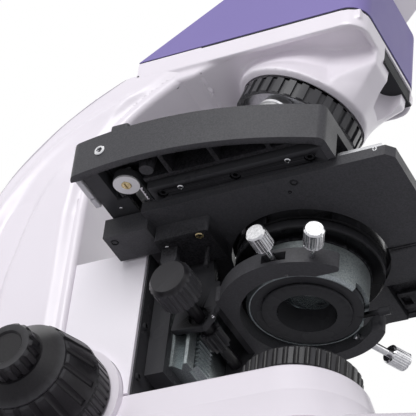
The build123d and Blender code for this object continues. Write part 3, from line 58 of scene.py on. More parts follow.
NOISE_RANGE = (0.3, 0.7)         # where a noise's values mostly lie
EDGE_POINTINESS = (0.53, 0.60)   # pointiness from a faint to a full painted edge highlight
PEEL_DEPTH = 0.00004             # relief depths, in metres
GRAIN_DEPTH = 0.00012
TOOL_MARK_DEPTH = 0.00005


def shader(name, metallic=0.0, coat=0.0, coat_roughness=0.1, ior=1.5, specular=0.5):
    """A new material, its node tree and its Principled shader with the constant inputs set."""
    material = bpy.data.materials.new(name)
    material.use_nodes = True
    tree = material.node_tree
    principled = tree.nodes["Principled BSDF"]
    principled.inputs["Metallic"].default_value = metallic
    principled.inputs["Coat Weight"].default_value = coat
    principled.inputs["Coat Roughness"].default_value = coat_roughness
    principled.inputs["IOR"].default_value = ior
    principled.inputs["Specular IOR Level"].default_value = specular
    return material, tree, principled


def noise(tree, scale, detail=3.0, stretch=None):
    """Noise on the object's own coordinates, in features per metre."""
    texture = tree.nodes.new("ShaderNodeTexNoise")
    texture.inputs["Scale"].default_value = scale
    texture.inputs["Detail"].default_value = detail
    coordinates = tree.nodes.new("ShaderNodeTexCoord")
    if stretch:
        mapping = tree.nodes.new("ShaderNodeMapping")
        mapping.inputs["Scale"].default_value = stretch
        tree.links.new(coordinates.outputs["Object"], mapping.inputs["Vector"])
        tree.links.new(mapping.outputs["Vector"], texture.inputs["Vector"])
    else:
        tree.links.new(coordinates.outputs["Object"], texture.inputs["Vector"])
    return texture.outputs["Fac"]


def ramp(tree, source, low, high, start=NOISE_RANGE[0], end=NOISE_RANGE[1]):
    """Two colours mixed by a noise."""
    node = tree.nodes.new("ShaderNodeValToRGB")
    node.color_ramp.elements[0].position = start
    node.color_ramp.elements[1].position = end
    node.color_ramp.elements[0].color = (*low, 1)
    node.color_ramp.elements[1].color = (*high, 1)
    tree.links.new(source, node.inputs["Fac"])
    return node.outputs["Color"]


def spread(tree, source, low, high):
    """A noise brought into a range."""
    node = tree.nodes.new("ShaderNodeMapRange")
    node.inputs["From Min"].default_value = NOISE_RANGE[0]
    node.inputs["From Max"].default_value = NOISE_RANGE[1]
    node.inputs["To Min"].default_value = low
    node.inputs["To Max"].default_value = high
    tree.links.new(source, node.inputs["Value"])
    return node.outputs["Result"]


def relief(tree, principled, source, strength, depth):
    """Bump from a noise; depth in metres."""
    bump = tree.nodes.new("ShaderNodeBump")
    bump.inputs["Strength"].default_value = strength
    bump.inputs["Distance"].default_value = depth
    tree.links.new(source, bump.inputs["Height"])
    tree.links.new(bump.outputs["Normal"], principled.inputs["Normal"])


def painted_edge_highlight(tree, colour, edge_colour, share):
    """Painted highlight: lightens the colour on sharp convex edges, where paint and moulding catch light."""
    geometry = tree.nodes.new("ShaderNodeNewGeometry")
    edge = tree.nodes.new("ShaderNodeMapRange")
    edge.inputs["From Min"].default_value = EDGE_POINTINESS[0]
    edge.inputs["From Max"].default_value = EDGE_POINTINESS[1]
    edge.inputs["To Max"].default_value = share
    tree.links.new(geometry.outputs["Pointiness"], edge.inputs["Value"])
    mix = tree.nodes.new("ShaderNodeMix")
    mix.data_type = "RGBA"
    tree.links.new(edge.outputs["Result"], mix.inputs["Factor"])
    tree.links.new(colour, mix.inputs[6])
    mix.inputs[7].default_value = (*edge_colour, 1)
    return mix.outputs[2]


def enamel(name, low, high, roughness, coat=0.25, specular=0.5):
    """Sprayed enamel: faint cloudiness and orange peel."""
    material, tree, principled = shader(name, coat=coat, coat_roughness=0.18, specular=specular)
    tree.links.new(ramp(tree, noise(tree, 9.0), low, high), principled.inputs["Base Color"])
    tree.links.new(spread(tree, noise(tree, 60.0), *roughness), principled.inputs["Roughness"])
    relief(tree, principled, noise(tree, 1600.0, 2.0), 0.05, PEEL_DEPTH)
    return material


def grained(name, low, high, roughness, grain, strength, shine):
    """Black finish with a fine powder-coat grain, and a painted highlight that lightens its edges."""
    material, tree, principled = shader(name, specular=shine)
    colour = ramp(tree, noise(tree, grain * 0.7, 4.0), low, high)
    # painted highlight: convex edges lightened towards a dark grey
    tree.links.new(painted_edge_highlight(tree, colour, (0.12, 0.12, 0.13), 0.35), principled.inputs["Base Color"])
    tree.links.new(spread(tree, noise(tree, 45.0), *roughness), principled.inputs["Roughness"])
    relief(tree, principled, noise(tree, grain, 3.0), strength, GRAIN_DEPTH)
    return material


def metal(name, low, high, roughness, scale, stretch=None):
    """Machined or polished metal with fine tool marks."""
    material, tree, principled = shader(name, metallic=1.0)
    tree.links.new(ramp(tree, noise(tree, scale, 4.0, stretch), low, high), principled.inputs["Base Color"])
    tree.links.new(spread(tree, noise(tree, scale * 0.6, 3.0, stretch), *roughness),
                   principled.inputs["Roughness"])
    relief(tree, principled, noise(tree, scale, 3.0, stretch), 0.05, TOOL_MARK_DEPTH)
    return material


def spangled(name):
    """Die-cast zinc: small crystal patches of differing shine."""
    material, tree, principled = shader(name, metallic=1.0)
    cells = tree.nodes.new("ShaderNodeTexVoronoi")
    cells.inputs["Scale"].default_value = 2400.0
    coordinates = tree.nodes.new("ShaderNodeTexCoord")
    tree.links.new(coordinates.outputs["Object"], cells.inputs["Vector"])
    patch = tree.nodes.new("ShaderNodeSeparateColor")
    tree.links.new(cells.outputs["Color"], patch.inputs["Color"])
    tree.links.new(ramp(tree, patch.outputs["Red"], (0.26, 0.29, 0.30), (0.42, 0.46, 0.47), 0.1, 0.9),
                   principled.inputs["Base Color"])
    tree.links.new(spread(tree, patch.outputs["Green"], 0.34, 0.46), principled.inputs["Roughness"])
    relief(tree, principled, patch.outputs["Blue"], 0.08, PEEL_DEPTH)
    return material


def lens_glass(name):
    """Coated glass: clear, with a faint green and violet sheen at the rim."""
    material, tree, principled = shader(name, ior=1.52, coat=1.0, coat_roughness=0.02)
    principled.inputs["Transmission Weight"].default_value = 0.92
    weight = tree.nodes.new("ShaderNodeLayerWeight")
    weight.inputs["Blend"].default_value = 0.35
    tree.links.new(ramp(tree, weight.outputs["Facing"], (0.80, 0.92, 0.90), (0.62, 0.60, 0.82), 0.2, 0.9),
                   principled.inputs["Base Color"])
    tree.links.new(spread(tree, noise(tree, 120.0), 0.015, 0.04), principled.inputs["Roughness"])
    return material


# name: maker, darkest and lightest colour, roughness range, then the maker's own values
FINISHES = {
    "white_enamel": (enamel, (0.79, 0.745, 0.805), (0.825, 0.78, 0.84), (0.30, 0.38)),
    # side_plate_white is the white enamel made lighter: painted light that makes up for the stage's shadow on the
    # side plate
    "side_plate_white": (enamel, (0.85, 0.815, 0.87), (0.88, 0.845, 0.90), (0.34, 0.42)),
    "lavender_enamel": (enamel, (0.225, 0.190, 0.425), (0.245, 0.205, 0.455), (0.38, 0.46), 0.0, 0.15),
    "scale_white": (enamel, (0.48, 0.47, 0.50), (0.58, 0.57, 0.60), (0.40, 0.50), 0.0),
    "pulley_white": (enamel, (0.74, 0.73, 0.75), (0.80, 0.79, 0.81), (0.30, 0.42), 0.2),
    "shade_line": (enamel, (0.36, 0.33, 0.38), (0.42, 0.39, 0.44), (0.45, 0.55), 0.0),
    "stage_black": (grained, (0.001, 0.001, 0.002), (0.034, 0.033, 0.037), (0.36, 0.50), 1500.0, 0.8, 0.20),
    "frame_black": (grained, (0.0025, 0.0025, 0.003), (0.006, 0.006, 0.007), (0.20, 0.30), 1500.0, 0.10, 0.10),
    "knob_black": (grained, (0.007, 0.0065, 0.008), (0.013, 0.012, 0.014), (0.30, 0.40), 1800.0, 0.15, 0.26),
    "soft_black": (grained, (0.002, 0.002, 0.0025), (0.005, 0.005, 0.006), (0.45, 0.60), 1400.0, 0.2, 0.10),
    "rubber": (grained, (0.012, 0.012, 0.012), (0.022, 0.022, 0.022), (0.70, 0.85), 1200.0, 0.3, 0.2),
    "belt_black": (grained, (0.010, 0.010, 0.010), (0.018, 0.018, 0.018), (0.55, 0.70), 1500.0, 0.3, 0.2),
    "dark_bore": (grained, (0.003, 0.003, 0.003), (0.006, 0.006, 0.006), (0.6, 0.8), 900.0, 0.1, 0.1),
    "bright_steel": (metal, (0.66, 0.66, 0.68), (0.86, 0.86, 0.88), (0.12, 0.24), 700.0),
    "ground_steel": (metal, (0.42, 0.42, 0.44), (0.60, 0.60, 0.62), (0.22, 0.34), 900.0, (1, 0.05, 1)),
    "turret_metal": (metal, (0.66, 0.66, 0.68), (0.84, 0.84, 0.86), (0.38, 0.50), 500.0),
    "brass": (metal, (0.52, 0.42, 0.22), (0.68, 0.56, 0.32), (0.22, 0.34), 900.0),
    "zinc": (spangled,),
    "optical_glass": (lens_glass,),
}
MATERIALS = {name: maker(name, *values) for name, (maker, *values) in FINISHES.items()}

slot_of = {row["node"]: row["material_slot"] for row in frame["record"]["subparts"]}
OTHER_FINISH = {"belt_pulley_left": "pulley_white", "belt_pulley_right": "pulley_white"}
for node_name, node_object in nodes.items():
    node_object.data.materials.clear()
    node_object.data.materials.append(MATERIALS[OTHER_FINISH.get(node_name, slot_of[node_name])])
    node_object.data.polygons.foreach_set("material_index", [0] * len(node_object.data.polygons))


# Mesh helpers

def basis(normal, hint=(0.0, 0.0, 1.0)):
    """A rotation whose Z points along normal."""
    z = Vector(normal).normalized()
    x = Vector(hint).cross(z)
    if x.length < 0.01:
        x = Vector((1.0, 0.0, 0.0))
    x.normalize()
    y = z.cross(x)
    return Matrix((x, y, z)).transposed().to_4x4()


def finish_piece(mesh, name, body, material, matrix=None, smooth_angle=35.0):
    """Turns a bmesh into an object that rides on a CAD body."""
    data = bpy.data.meshes.new(name)
    bmesh.ops.recalc_face_normals(mesh, faces=mesh.faces)
    if matrix is not None:
        mesh.transform(matrix)
    limit = math.radians(smooth_angle)
    for face in mesh.faces:
        face.smooth = True
    for edge in mesh.edges:
        if len(edge.link_faces) == 2 and edge.calc_face_angle(0.0) > limit:
            edge.smooth = False
    mesh.to_mesh(data)
    mesh.free()
    piece = bpy.data.objects.new(name, data)
    bpy.context.scene.collection.objects.link(piece)
    data.materials.append(MATERIALS[material])
    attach(piece, body)
    return piece


def ringed(rings, count):
    """A closed solid of rings of points about Z: each ring is (radius function, z)."""
    mesh = bmesh.new()
    loops = []
    for radius, z in rings:
        loop = []
        for i in range(count):
            angle = 2 * math.pi * i / count
            r = radius(angle) if callable(radius) else radius
            loop.append(mesh.verts.new((r * math.cos(angle) * MM, r * math.sin(angle) * MM, z * MM)))
        loops.append(loop)
    for low, high in zip(loops, loops[1:]):
        for i in range(count):
            j = (i + 1) % count
            mesh.faces.new((low[i], low[j], high[j], high[i]))
    mesh.faces.new(list(reversed(loops[0])))
    mesh.faces.new(loops[-1])
    return mesh


def hexagon(width):
    """Radius of a hexagon of that half width across its flats."""
    return lambda a: width / math.cos((a % (math.pi / 3)) - math.pi / 6)


def cross(length, width):
    """Radius of a cross-shaped recess."""
    def radius(a):
        c = abs(math.cos(a)) + 1e-6
        s = abs(math.sin(a)) + 1e-6
        return max(min(length / c, width / s), min(length / s, width / c))
    return radius


def slot_shape(length, width):
    """Radius of a straight screwdriver slot."""
    return lambda a: min(length / (abs(math.cos(a)) + 1e-6), width / (abs(math.sin(a)) + 1e-6))


SCREW_CHAMFER = 0.35    # in mm, as all lengths without a unit
SCREW_SINK = 0.3
RECESS_LIP = 0.12
SOCKET = hexagon(1.25)
SMALL_SOCKET = hexagon(0.75)


def screw(name, centre, normal, radius, recess, depth, material, body, height):
    """Small screw head with its recess; centre is on the face that it stands on."""
    rings = [(radius, -SCREW_SINK), (radius, height - SCREW_CHAMFER), (radius - SCREW_CHAMFER, height),
             (lambda a: recess(a) * 1.06 + 0.03, height), (recess, height - RECESS_LIP),
             (lambda a: recess(a) * 0.97, height - depth)]
    matrix = Matrix.Translation(place(*centre)) @ basis(normal)
    finish_piece(ringed(rings, 72), name, body, material, matrix, 25.0)


SLOTS = {"black": ("soft_black", "frame_black"), "steel": ("bright_steel", "bright_steel"),
         "brass": ("brass", "bright_steel")}
SCREWS = [
    # name, centre, normal, radius, recess, depth, finish, body, height
    ("casting_corner_screw", (-99.9, 72.4, 166.0), (-1, 0.05, 0), 2.9, hexagon(1.5), 1.3, "steel",
     "mechanical_stage", 0.7),
    ("strip_screw_front", (-69.4, -29.7, 159.2), (0, 0, -1), 2.5, SOCKET, 1.4, "black", "mechanical_stage", 2.4),
    ("strip_screw_middle", (-69.4, 10.7, 159.2), (0, 0, -1), 2.5, SOCKET, 1.4, "black", "mechanical_stage", 2.4),
    ("strip_screw_back", (-69.4, 51.0, 159.2), (0, 0, -1), 2.5, SOCKET, 1.4, "black", "mechanical_stage", 2.4),
    ("bracket_screw", (-47.6, 39.8, 142.5), (0, 0, -1), 2.2, cross(1.6, 0.35), 0.9, "brass", "focusing_stage", 0.5),
    ("plate_screw", (-59.3, -17.0, 152.0), (0, 0, -1), 2.3, SOCKET, 1.2, "black", "focusing_stage", 0.4),
    ("notch_screw", (45.2, -28.8, 156.5), (0, 0, -1), 2.3, SOCKET, 1.2, "black", "focusing_stage", 0.5),
    ("carriage_screw", (-24.3, 49.6, 148.2), (-1, 0, 0), 1.3, cross(0.9, 0.22), 0.5, "steel", "condenser", 0.4),
    ("carriage_screw_low", (-24.3, 40.3, 108.5), (-1, 0, 0), 1.0, cross(0.7, 0.2), 0.4, "steel", "condenser", 0.3),
    ("strip_cross_back", (-71.1, 40.3, 156.0), (0, 0, -1), 1.6, cross(1.1, 0.25), 0.5, "steel",
     "mechanical_stage", 0.5),
    ("strip_cross_front", (-71.4, -18.7, 156.0), (0, 0, -1), 1.6, cross(1.1, 0.25), 0.5, "steel",
     "mechanical_stage", 0.5),
    ("rail_end_screw", (-64.0, -61.5, 157.0), (-1, 0, 0), 1.5, cross(1.0, 0.25), 0.5, "steel",
     "focusing_stage", 0.15),
    ("plate_pin", (-53.3, -12.1, 152.0), (0, 0, -1), 1.0, SMALL_SOCKET, 0.5, "black", "focusing_stage", 0.3),
    ("bracket_pin", (-44.3, 59.7, 142.5), (0, 0, -1), 1.1, SMALL_SOCKET, 0.5, "steel", "focusing_stage", 0.3),
    ("frame_cap_high", (-30.3, 75.5, 106.0), (0, -1, 0), 2.0, hexagon(1.0), 0.9, "black", "stand", 1.4),
    ("frame_cap_low", (-30.8, 75.5, 75.0), (0, -1, 0), 2.0, hexagon(1.0), 0.9, "black", "stand", 1.4),
    ("rear_block_screw", (-53.0, 86.0, 146.0), (0, 0, -1), 2.2, SOCKET, 1.0, "black", "focusing_stage", 0.4),
    ("guide_pin_left", (-61.8, 79.6, 160.2), (0, 0, -1), 0.9, cross(0.6, 0.18), 0.3, "steel",
     "mechanical_stage", 0.3),
    ("guide_pin_inner", (-49.4, 85.8, 160.2), (0, 0, -1), 0.9, cross(0.6, 0.18), 0.3, "steel",
     "mechanical_stage", 0.3),
    ("fork_pin", (-34.6, -4.5, 115.5), (0, 0, -1), 0.8, SMALL_SOCKET, 0.3, "steel", "condenser", 0.3),
    ("pulley_screw", (-77.0, 68.5, 160.3), (0, 0, -1), 2.7, slot_shape(2.2, 0.4), 0.5, "brass", "pulley_left", 0.5),
]
for name, centre, normal, radius, recess, depth, finish, body, height in SCREWS:
    material, slot = SLOTS[finish]
    screw(name, centre, normal, radius, recess, depth, material, body, height)


# Arm: the CAD's straight funnel is sculpted into a lipped ring and a chin under a hollow band

TILT = math.radians(22.0)
TURRET_PLACE = Vector((0.0, 16.0, 244.01))
TURRET_UP = Vector((0.0, -math.sin(TILT), math.cos(TILT)))
TURRET_BACK = Vector((0.0, math.cos(TILT), math.sin(TILT)))
LIP_HEIGHT = 13.0
LIP_RADIUS = 39.3
LIP_RADIUS_RIGHT = 36.4
LIP_INNER = (35.0, 10.6)
RECESS_RADIUS = 35.8
RECESS_TOP = 14.0
BAND_HALF = 40.06
BAND_FRONT = -38.5
BAND_BACK = 96.9
BAND_CORNER = 12.0
BAND_WALL = 3.3
BAND_Z = (274.0, 286.03)
VALLEY_Z = 279.2
ARM_FRONT = 58.0
ARM_HALF = 38.0
PILLAR_FRONT = 119.0
CHIN_TOP = 283.5
VOXEL = 0.0008                                       # in metres
CHIN_RINGS = 180
RIM_SHARE = 0.5
LOWER_FULLNESS = 0.8
SOFT_SWELL = 1.6
CHIN_MIDDLE_Y = 11.0
NOSE_UNDERSIDE = [(BAND_FRONT + 2, VALLEY_Z), (18, VALLEY_Z), (30, 278.3), (40, 276.2), (50, 272.9),
                  (ARM_FRONT, 269.8), (63, 268.0), (70, 267.4), (80, 266.0)]
SLAB_TOP = 285.9
SLAB_EDGE = ((-38.0, 1.8), (-37.0, 0.5), (-35.4, 0.0), (35.4, 0.0), (37.0, 0.5), (38.0, 1.8))    # x and rise
SLAB_EDGE_FROM, SLAB_EDGE_OVER = 40, 14              # the rise starts at this y and is full this much further back
SLIDER_SLOT = ((-8, 30), (-60, -20.5), (271, 282.5))
SCOOP = ((9, -35.5), 9.5, (250, 272))
ARCH_BEVEL = 0.004                                   # in metres, as the next three
ARCH_EDGE_Z = (0.09, 0.2738)
ARCH_END_Z = 0.27
WELD = 1e-6
MOUNT_RADIUS = 34.8                                  # the mount's largest radius up to the step, and above it
MOUNT_RADIUS_HIGH = 30.0
MOUNT_STEP = 12.0
# Round the lip, in degrees: the chin's outline under the valley (x, y), and its crease (x, y, z)
CHIN = [
    (90, (0, 49), None), (120, (-17, 47), None), (135, (-24, 42), None), (150, (-27.4, 34), None),
    (165, (-28.2, 25), None), (180, (-27.9, 13), None), (195, (-26.4, 3.5), None), (210, (-23.0, -6), None),
    (222, (-19.6, -13), None), (228, (-18.2, -17), (-26.3, -17.0, 249.0)), (236, (-16.9, -23), (-23.2, -22.5, 256.0)),
    (244, (-16.3, -31), (-19.4, -30.5, 261.6)), (252, (-16.0, BAND_FRONT), (-16.0, -37.2, 265.0)),
    (261, (-6, BAND_FRONT), (-6.0, -37.2, 264.2)), (270, (4, BAND_FRONT), (4.0, -37.2, 264.0)),
    (281, (15, BAND_FRONT), (15.0, -37.2, 264.2)), (291, (27, BAND_FRONT), (26.0, -37.2, 265.2)),
    (299, (27, -30), (25.0, -29.0, 263.5)), (307, (26, -20), (24.0, -20.5, 260.0)),
    (315, (25.5, -11), (25.5, -13.6, 253.5)), (330, (25.5, -4), None), (345, (27, 5), None), (360, (28, 13), None),
    (375, (28.2, 25), None), (390, (27.4, 34), None), (405, (24, 42), None), (420, (17, 47), None),
    (450, (0, 49), None)]


def lip_point(angle, radius, height):
    """A point in mm in the turret's leaning frame."""
    return (TURRET_PLACE + TURRET_UP * height + Vector((radius * math.cos(angle), 0, 0))
            + TURRET_BACK * radius * math.sin(angle))


def chin_profile(degrees):
    """Rim, crease and top of the chin at an angle round the lip."""
    for (start, top0, crease0), (end, top1, crease1) in zip(CHIN, CHIN[1:]):
        if start <= degrees <= end:
            share = (degrees - start) / (end - start)
            top = Vector((*top0, CHIN_TOP)).lerp(Vector((*top1, CHIN_TOP)), share)
            right_hand = min(max((degrees - 265) / 25, 0.0), 1.0) * min(max((450 - degrees) / 40, 0.0), 1.0)
            radius = LIP_RADIUS + (LIP_RADIUS_RIGHT - LIP_RADIUS) * right_hand
            rim = lip_point(math.radians(degrees), radius, LIP_HEIGHT)
            crease = [Vector(c) if c else None for c in (crease0, crease1)]
            soft = rim.lerp(Vector((top.x, top.y, VALLEY_Z)), RIM_SHARE)
            soft += Vector((-soft.x, CHIN_MIDDLE_Y - soft.y, 0)).normalized() * SOFT_SWELL
            ends = [c if c else soft for c in crease]
            return rim, ends[0].lerp(ends[1], share), top
    raise ValueError(degrees)


def lofted(rings, closed=False):
    """Skin through rings of points in mm from the optical axis, capped or joined end to end."""
    mesh = bmesh.new()
    loops = [[mesh.verts.new(place(*point)) for point in ring] for ring in rings]
    count = len(rings[0])
    pairs = list(zip(loops, loops[1:]))
    if closed:
        pairs.append((loops[-1], loops[0]))
    for low, high in pairs:
        for i in range(count):
            j = (i + 1) % count
            mesh.faces.new((low[i], low[j], high[j], high[i]))
    if not closed:
        mesh.faces.new(list(reversed(loops[0])))
        mesh.faces.new(loops[-1])
    bmesh.ops.recalc_face_normals(mesh, faces=mesh.faces)
    return mesh


def band_outline(inset, z):
    """The nose's plan outline with round front corners, as points."""
    half, front, back, corner = BAND_HALF - inset, BAND_FRONT + inset, BAND_BACK - inset, BAND_CORNER - inset
    points = [(half, back, z)]
    for side, first in ((1, 0), (-1, -90)):
        for step in range(13):
            angle = math.radians(first - 90 * step / 12)
            points.append((side * (half - corner) + corner * math.cos(angle),
                           front + corner + corner * math.sin(angle), z))
    points.append((-half, back, z))
    return points


def joined(meshes):
    """One bmesh of several."""
    whole = bmesh.new()
    for mesh in meshes:
        data = bpy.data.meshes.new("part")
        mesh.to_mesh(data)
        mesh.free()
        whole.from_mesh(data)
        bpy.data.meshes.remove(data)
    return whole


def modified(mesh, name, settings):
    """The mesh after a list of modifiers."""
    data = bpy.data.meshes.new(name)
    mesh.to_mesh(data)
    mesh.free()
    work = bpy.data.objects.new(name, data)
    bpy.context.scene.collection.objects.link(work)
    for kind, values in settings:
        modifier = work.modifiers.new(kind, kind)
        for key, value in values.items():
            setattr(modifier, key, value)
    bpy.context.view_layer.update()
    evaluated = work.evaluated_get(bpy.context.evaluated_depsgraph_get())
    result = bmesh.new()
    result.from_mesh(evaluated.to_mesh())
    evaluated.to_mesh_clear()
    bpy.data.objects.remove(work)
    bpy.data.meshes.remove(data)
    return result


def cutter(mesh, name):
    """A hidden object to cut with."""
    data = bpy.data.meshes.new(name)
    mesh.to_mesh(data)
    mesh.free()
    work = bpy.data.objects.new(name, data)
    bpy.context.scene.collection.objects.link(work)
    return work


def box(x, y, z):
    """Closed box in mm from the optical axis."""
    return lofted([[(x[0], y[0], h), (x[1], y[0], h), (x[1], y[1], h), (x[0], y[1], h)] for h in z])


def round_bar(centre, radius, z, count=96):
    """Upright closed cylinder in mm."""
    angles = [2 * math.pi * i / count for i in range(count)]
    return lofted([[(centre[0] + radius * math.cos(a), centre[1] + radius * math.sin(a), h) for a in angles]
                   for h in z])


def ease(value):
    """A smooth step from 0 to 1."""
    value = min(max(value, 0.0), 1.0)
    return value * value * (3 - 2 * value)


def nose_mesh():
    """Band, valley, chin and lip, melted together like a casting, then cut for the nosepiece and slider."""
    band = lofted([band_outline(0, BAND_Z[0]), band_outline(0, BAND_Z[1]), band_outline(BAND_WALL, BAND_Z[1]),
                   band_outline(BAND_WALL, BAND_Z[0])], closed=True)
    slab = lofted([[(x, NOSE_UNDERSIDE[0][0], SLAB_TOP)]
                   + [(x, y, z + rise * ease((y - SLAB_EDGE_FROM) / SLAB_EDGE_OVER)) for y, z in NOSE_UNDERSIDE]
                   + [(x, NOSE_UNDERSIDE[-1][0], SLAB_TOP)]
                   for x, rise in SLAB_EDGE])
    rings = [[] for _ in range(7)]
    for i in range(CHIN_RINGS):
        angle = CHIN[0][0] + 360.0 / CHIN_RINGS * i
        rim, crease, top = chin_profile(angle)
        valley = Vector((top.x, top.y, VALLEY_Z))
        inner = lip_point(math.radians(angle), *LIP_INNER)
        lower = rim.lerp(crease, RIM_SHARE) + Vector((0, 0, LOWER_FULLNESS))
        upper = crease.lerp(valley, RIM_SHARE)
        for ring, point in zip(rings, (inner, rim, lower, crease, upper, valley, top)):
            ring.append(point)
    chin = lofted(rings)
    cast = modified(joined([band, slab, chin]), "cast",
                    [("REMESH", {"mode": "VOXEL", "voxel_size": VOXEL}),
                     ("SMOOTH", {"factor": 0.5, "iterations": 11})])
    recess = lofted([[lip_point(2 * math.pi * i / 128, RECESS_RADIUS, h) for i in range(128)]
                     for h in (-30.0, RECESS_TOP)])
    cuts = [cutter(recess, "recess"), cutter(box(*SLIDER_SLOT), "slot"), cutter(round_bar(*SCOOP), "scoop")]
    cut = modified(cast, "nose", [("BOOLEAN", {"object": c, "operation": "DIFFERENCE", "solver": "EXACT"})
                                  for c in cuts])
    for work in cuts:
        bpy.data.objects.remove(work)
    return cut


def arm_mesh():
    """The CAD arm behind its funnel, with soft edges along the arch."""
    mesh = bmesh.new()
    mesh.from_mesh(nodes["arm_casting"].data)
    bmesh.ops.remove_doubles(mesh, verts=mesh.verts, dist=WELD)
    front = (ARM_FRONT + AXIS_Y - 0.05) * MM
    bmesh.ops.bisect_plane(mesh, geom=mesh.verts[:] + mesh.edges[:] + mesh.faces[:], plane_co=(0, front, 0),
                           plane_no=(0, -1, 0), clear_outer=True)
    for vertex in mesh.verts:
        if vertex.co.y < front + WELD and vertex.co.z < ARCH_END_Z:
            vertex.co.z = ARCH_END_Z
    bmesh.ops.holes_fill(mesh, edges=[edge for edge in mesh.edges if edge.is_boundary])
    bmesh.ops.dissolve_limit(mesh, angle_limit=math.radians(0.5), verts=mesh.verts, edges=mesh.edges)
    side = ARM_HALF * MM
    arch = [edge for edge in mesh.edges
            if len(edge.link_faces) == 2 and edge.calc_face_angle(0.0) > 1.0
            and all(abs(abs(v.co.x) - side) < 10 * WELD and ARCH_EDGE_Z[0] < v.co.z < ARCH_EDGE_Z[1]
                    and v.co.y < (PILLAR_FRONT + AXIS_Y + 0.1) * MM for v in edge.verts)]
    bmesh.ops.bevel(mesh, geom=arch, offset=ARCH_BEVEL, segments=5, profile=0.5, affect="EDGES")
    return mesh


arm = finish_piece(joined([nose_mesh(), arm_mesh()]), "arm_casting_sculpted", "stand",
                   "white_enamel", None, 30.0)
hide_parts("arm_casting")


def mount_mesh():
    """The CAD nosepiece mount, drawn in to the sculpted recess."""
    mesh = bmesh.new()
    mesh.from_mesh(nodes["nosepiece_mount"].data)
    middle = place(*TURRET_PLACE)
    for vertex in mesh.verts:
        height = (vertex.co - middle).dot(TURRET_UP)
        outward = vertex.co - middle - TURRET_UP * height
        limit = (MOUNT_RADIUS if height < MOUNT_STEP * MM else MOUNT_RADIUS_HIGH) * MM
        if outward.length > limit:
            vertex.co = middle + TURRET_UP * height + outward.normalized() * limit
    return mesh


mount = finish_piece(mount_mesh(), "nosepiece_mount_fitted", "stand", "dark_bore")
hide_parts("nosepiece_mount")


# Arm sides: a thin skin carries the soft ridges of the casting, and a dark strip on it paints the shade in the
# parting groove.
# Lines are (y, z) from the top down, apart from the arch's, which runs up.

BACK_LINE = [(92, 288), (97, 285.5), (125, 272), (152, 252), (174, 226), (187, 194), (191, 150), (188, 100),
             (186, 60)]
GROOVE_LINE = [(102, 278.5), (115.7, 270.2), (130, 262.1), (141.6, 253.6), (153.2, 241.9), (165.2, 228.9),
               (176, 214.0), (182.5, 190)]
RIDGE_LINE = [(88, 268.0), (100.2, 262.5), (108.8, 257.0), (123.7, 250.2), (137.3, 242.0), (151.2, 230.0),
              (164.3, 213.5), (173.4, 197.0), (178, 170), (178, 120), (175, 64)]
INNER_LINE = [(133, 224), (135.3, 218.1), (139.5, 209.3), (144.2, 199.3), (149.4, 185.3), (153.2, 167.8),
              (157.0, 150), (158.4, 125), (158, 95), (156, 64)]
ARCH_LINE = [(119, 60), (119, 186), (113, 226), (98, 248), (78, 263), (58, 270)]
BOSS_PLACE = (113, 60)       # the focus boss, left free by the skin
BOSS_RADIUS = 35.0
EDGE_ROUND = 11.0            # the CAD arm's rounding along its back
GROOVE_HALF = 0.42
GROOVE_LIFT = 0.1
SKIN_STEP = 1.25
SKIN_GRID = ((60, 192), (62, 280))
SKIN_TOP = 278
SKIN_FRONT = 4.6
SKIN_BACK = 2.6
SKIN_ROUND = 7.0             # nearer to the back line the skin rolls down into the CAD's edge
SKIN_REST = 1.7              # height of the plain side over the CAD's
SKIN_SINK = 0.15
BAND_FLUSH = 2.15            # height that meets the nose band's face
RIDGE_WIDTH = 4.5
RIDGE_RISE = 1.9             # crest along the back ridge
RIDGE_DIP = 0.8              # dip on the ridge's back side
INNER_RISE = 2.6             # crest along the inner ridge, which fades forwards and above z 228
INNER_FADE = 0.16
HOLLOW_DEPTH = 3.2           # hollow between the two ridges, which fades above z 180
HOLLOW_EASE = 9.0
FRONT_EASE = 7.0
BOSS_EASE = 6.0


def smooth_line(points, parts=6):
    """Points along a Catmull-Rom curve through the given ones."""
    ends = [points[0]] + points + [points[-1]]
    line = []
    for a, b, c, d in zip(ends, ends[1:], ends[2:], ends[3:]):
        for step in range(parts):
            t = step / parts
            line.append(tuple(0.5 * (2 * q + (r - p) * t + (2 * p - 5 * q + 4 * r - s) * t * t
                                     + (3 * q - p - 3 * r + s) * t ** 3) for p, q, r, s in zip(a, b, c, d)))
    return line + [points[-1]]


def signed_distance(line, y, z):
    """Distance to a line of points; positive on its right-hand side as it runs."""
    best, sign = 1e9, 1.0
    for (y0, z0), (y1, z1) in zip(line, line[1:]):
        dy, dz = y1 - y0, z1 - z0
        t = min(max(((y - y0) * dy + (z - z0) * dz) / (dy * dy + dz * dz), 0.0), 1.0)
        gap = math.hypot(y - y0 - t * dy, z - z0 - t * dz)
        if gap < best:
            best, sign = gap, math.copysign(1.0, (y - y0) * dz - (z - z0) * dy)
    return best * sign


def bell(value, width):
    """1 at zero, falling off to both sides."""
    return math.exp(-(value / width) ** 2)


BACK_CURVE = smooth_line(BACK_LINE)
GROOVE_CURVE = smooth_line(GROOVE_LINE)
RIDGE_CURVE = smooth_line(RIDGE_LINE)
INNER_CURVE = smooth_line(INNER_LINE)
ARCH_CURVE = [ARCH_LINE[0]] + smooth_line(ARCH_LINE[1:])


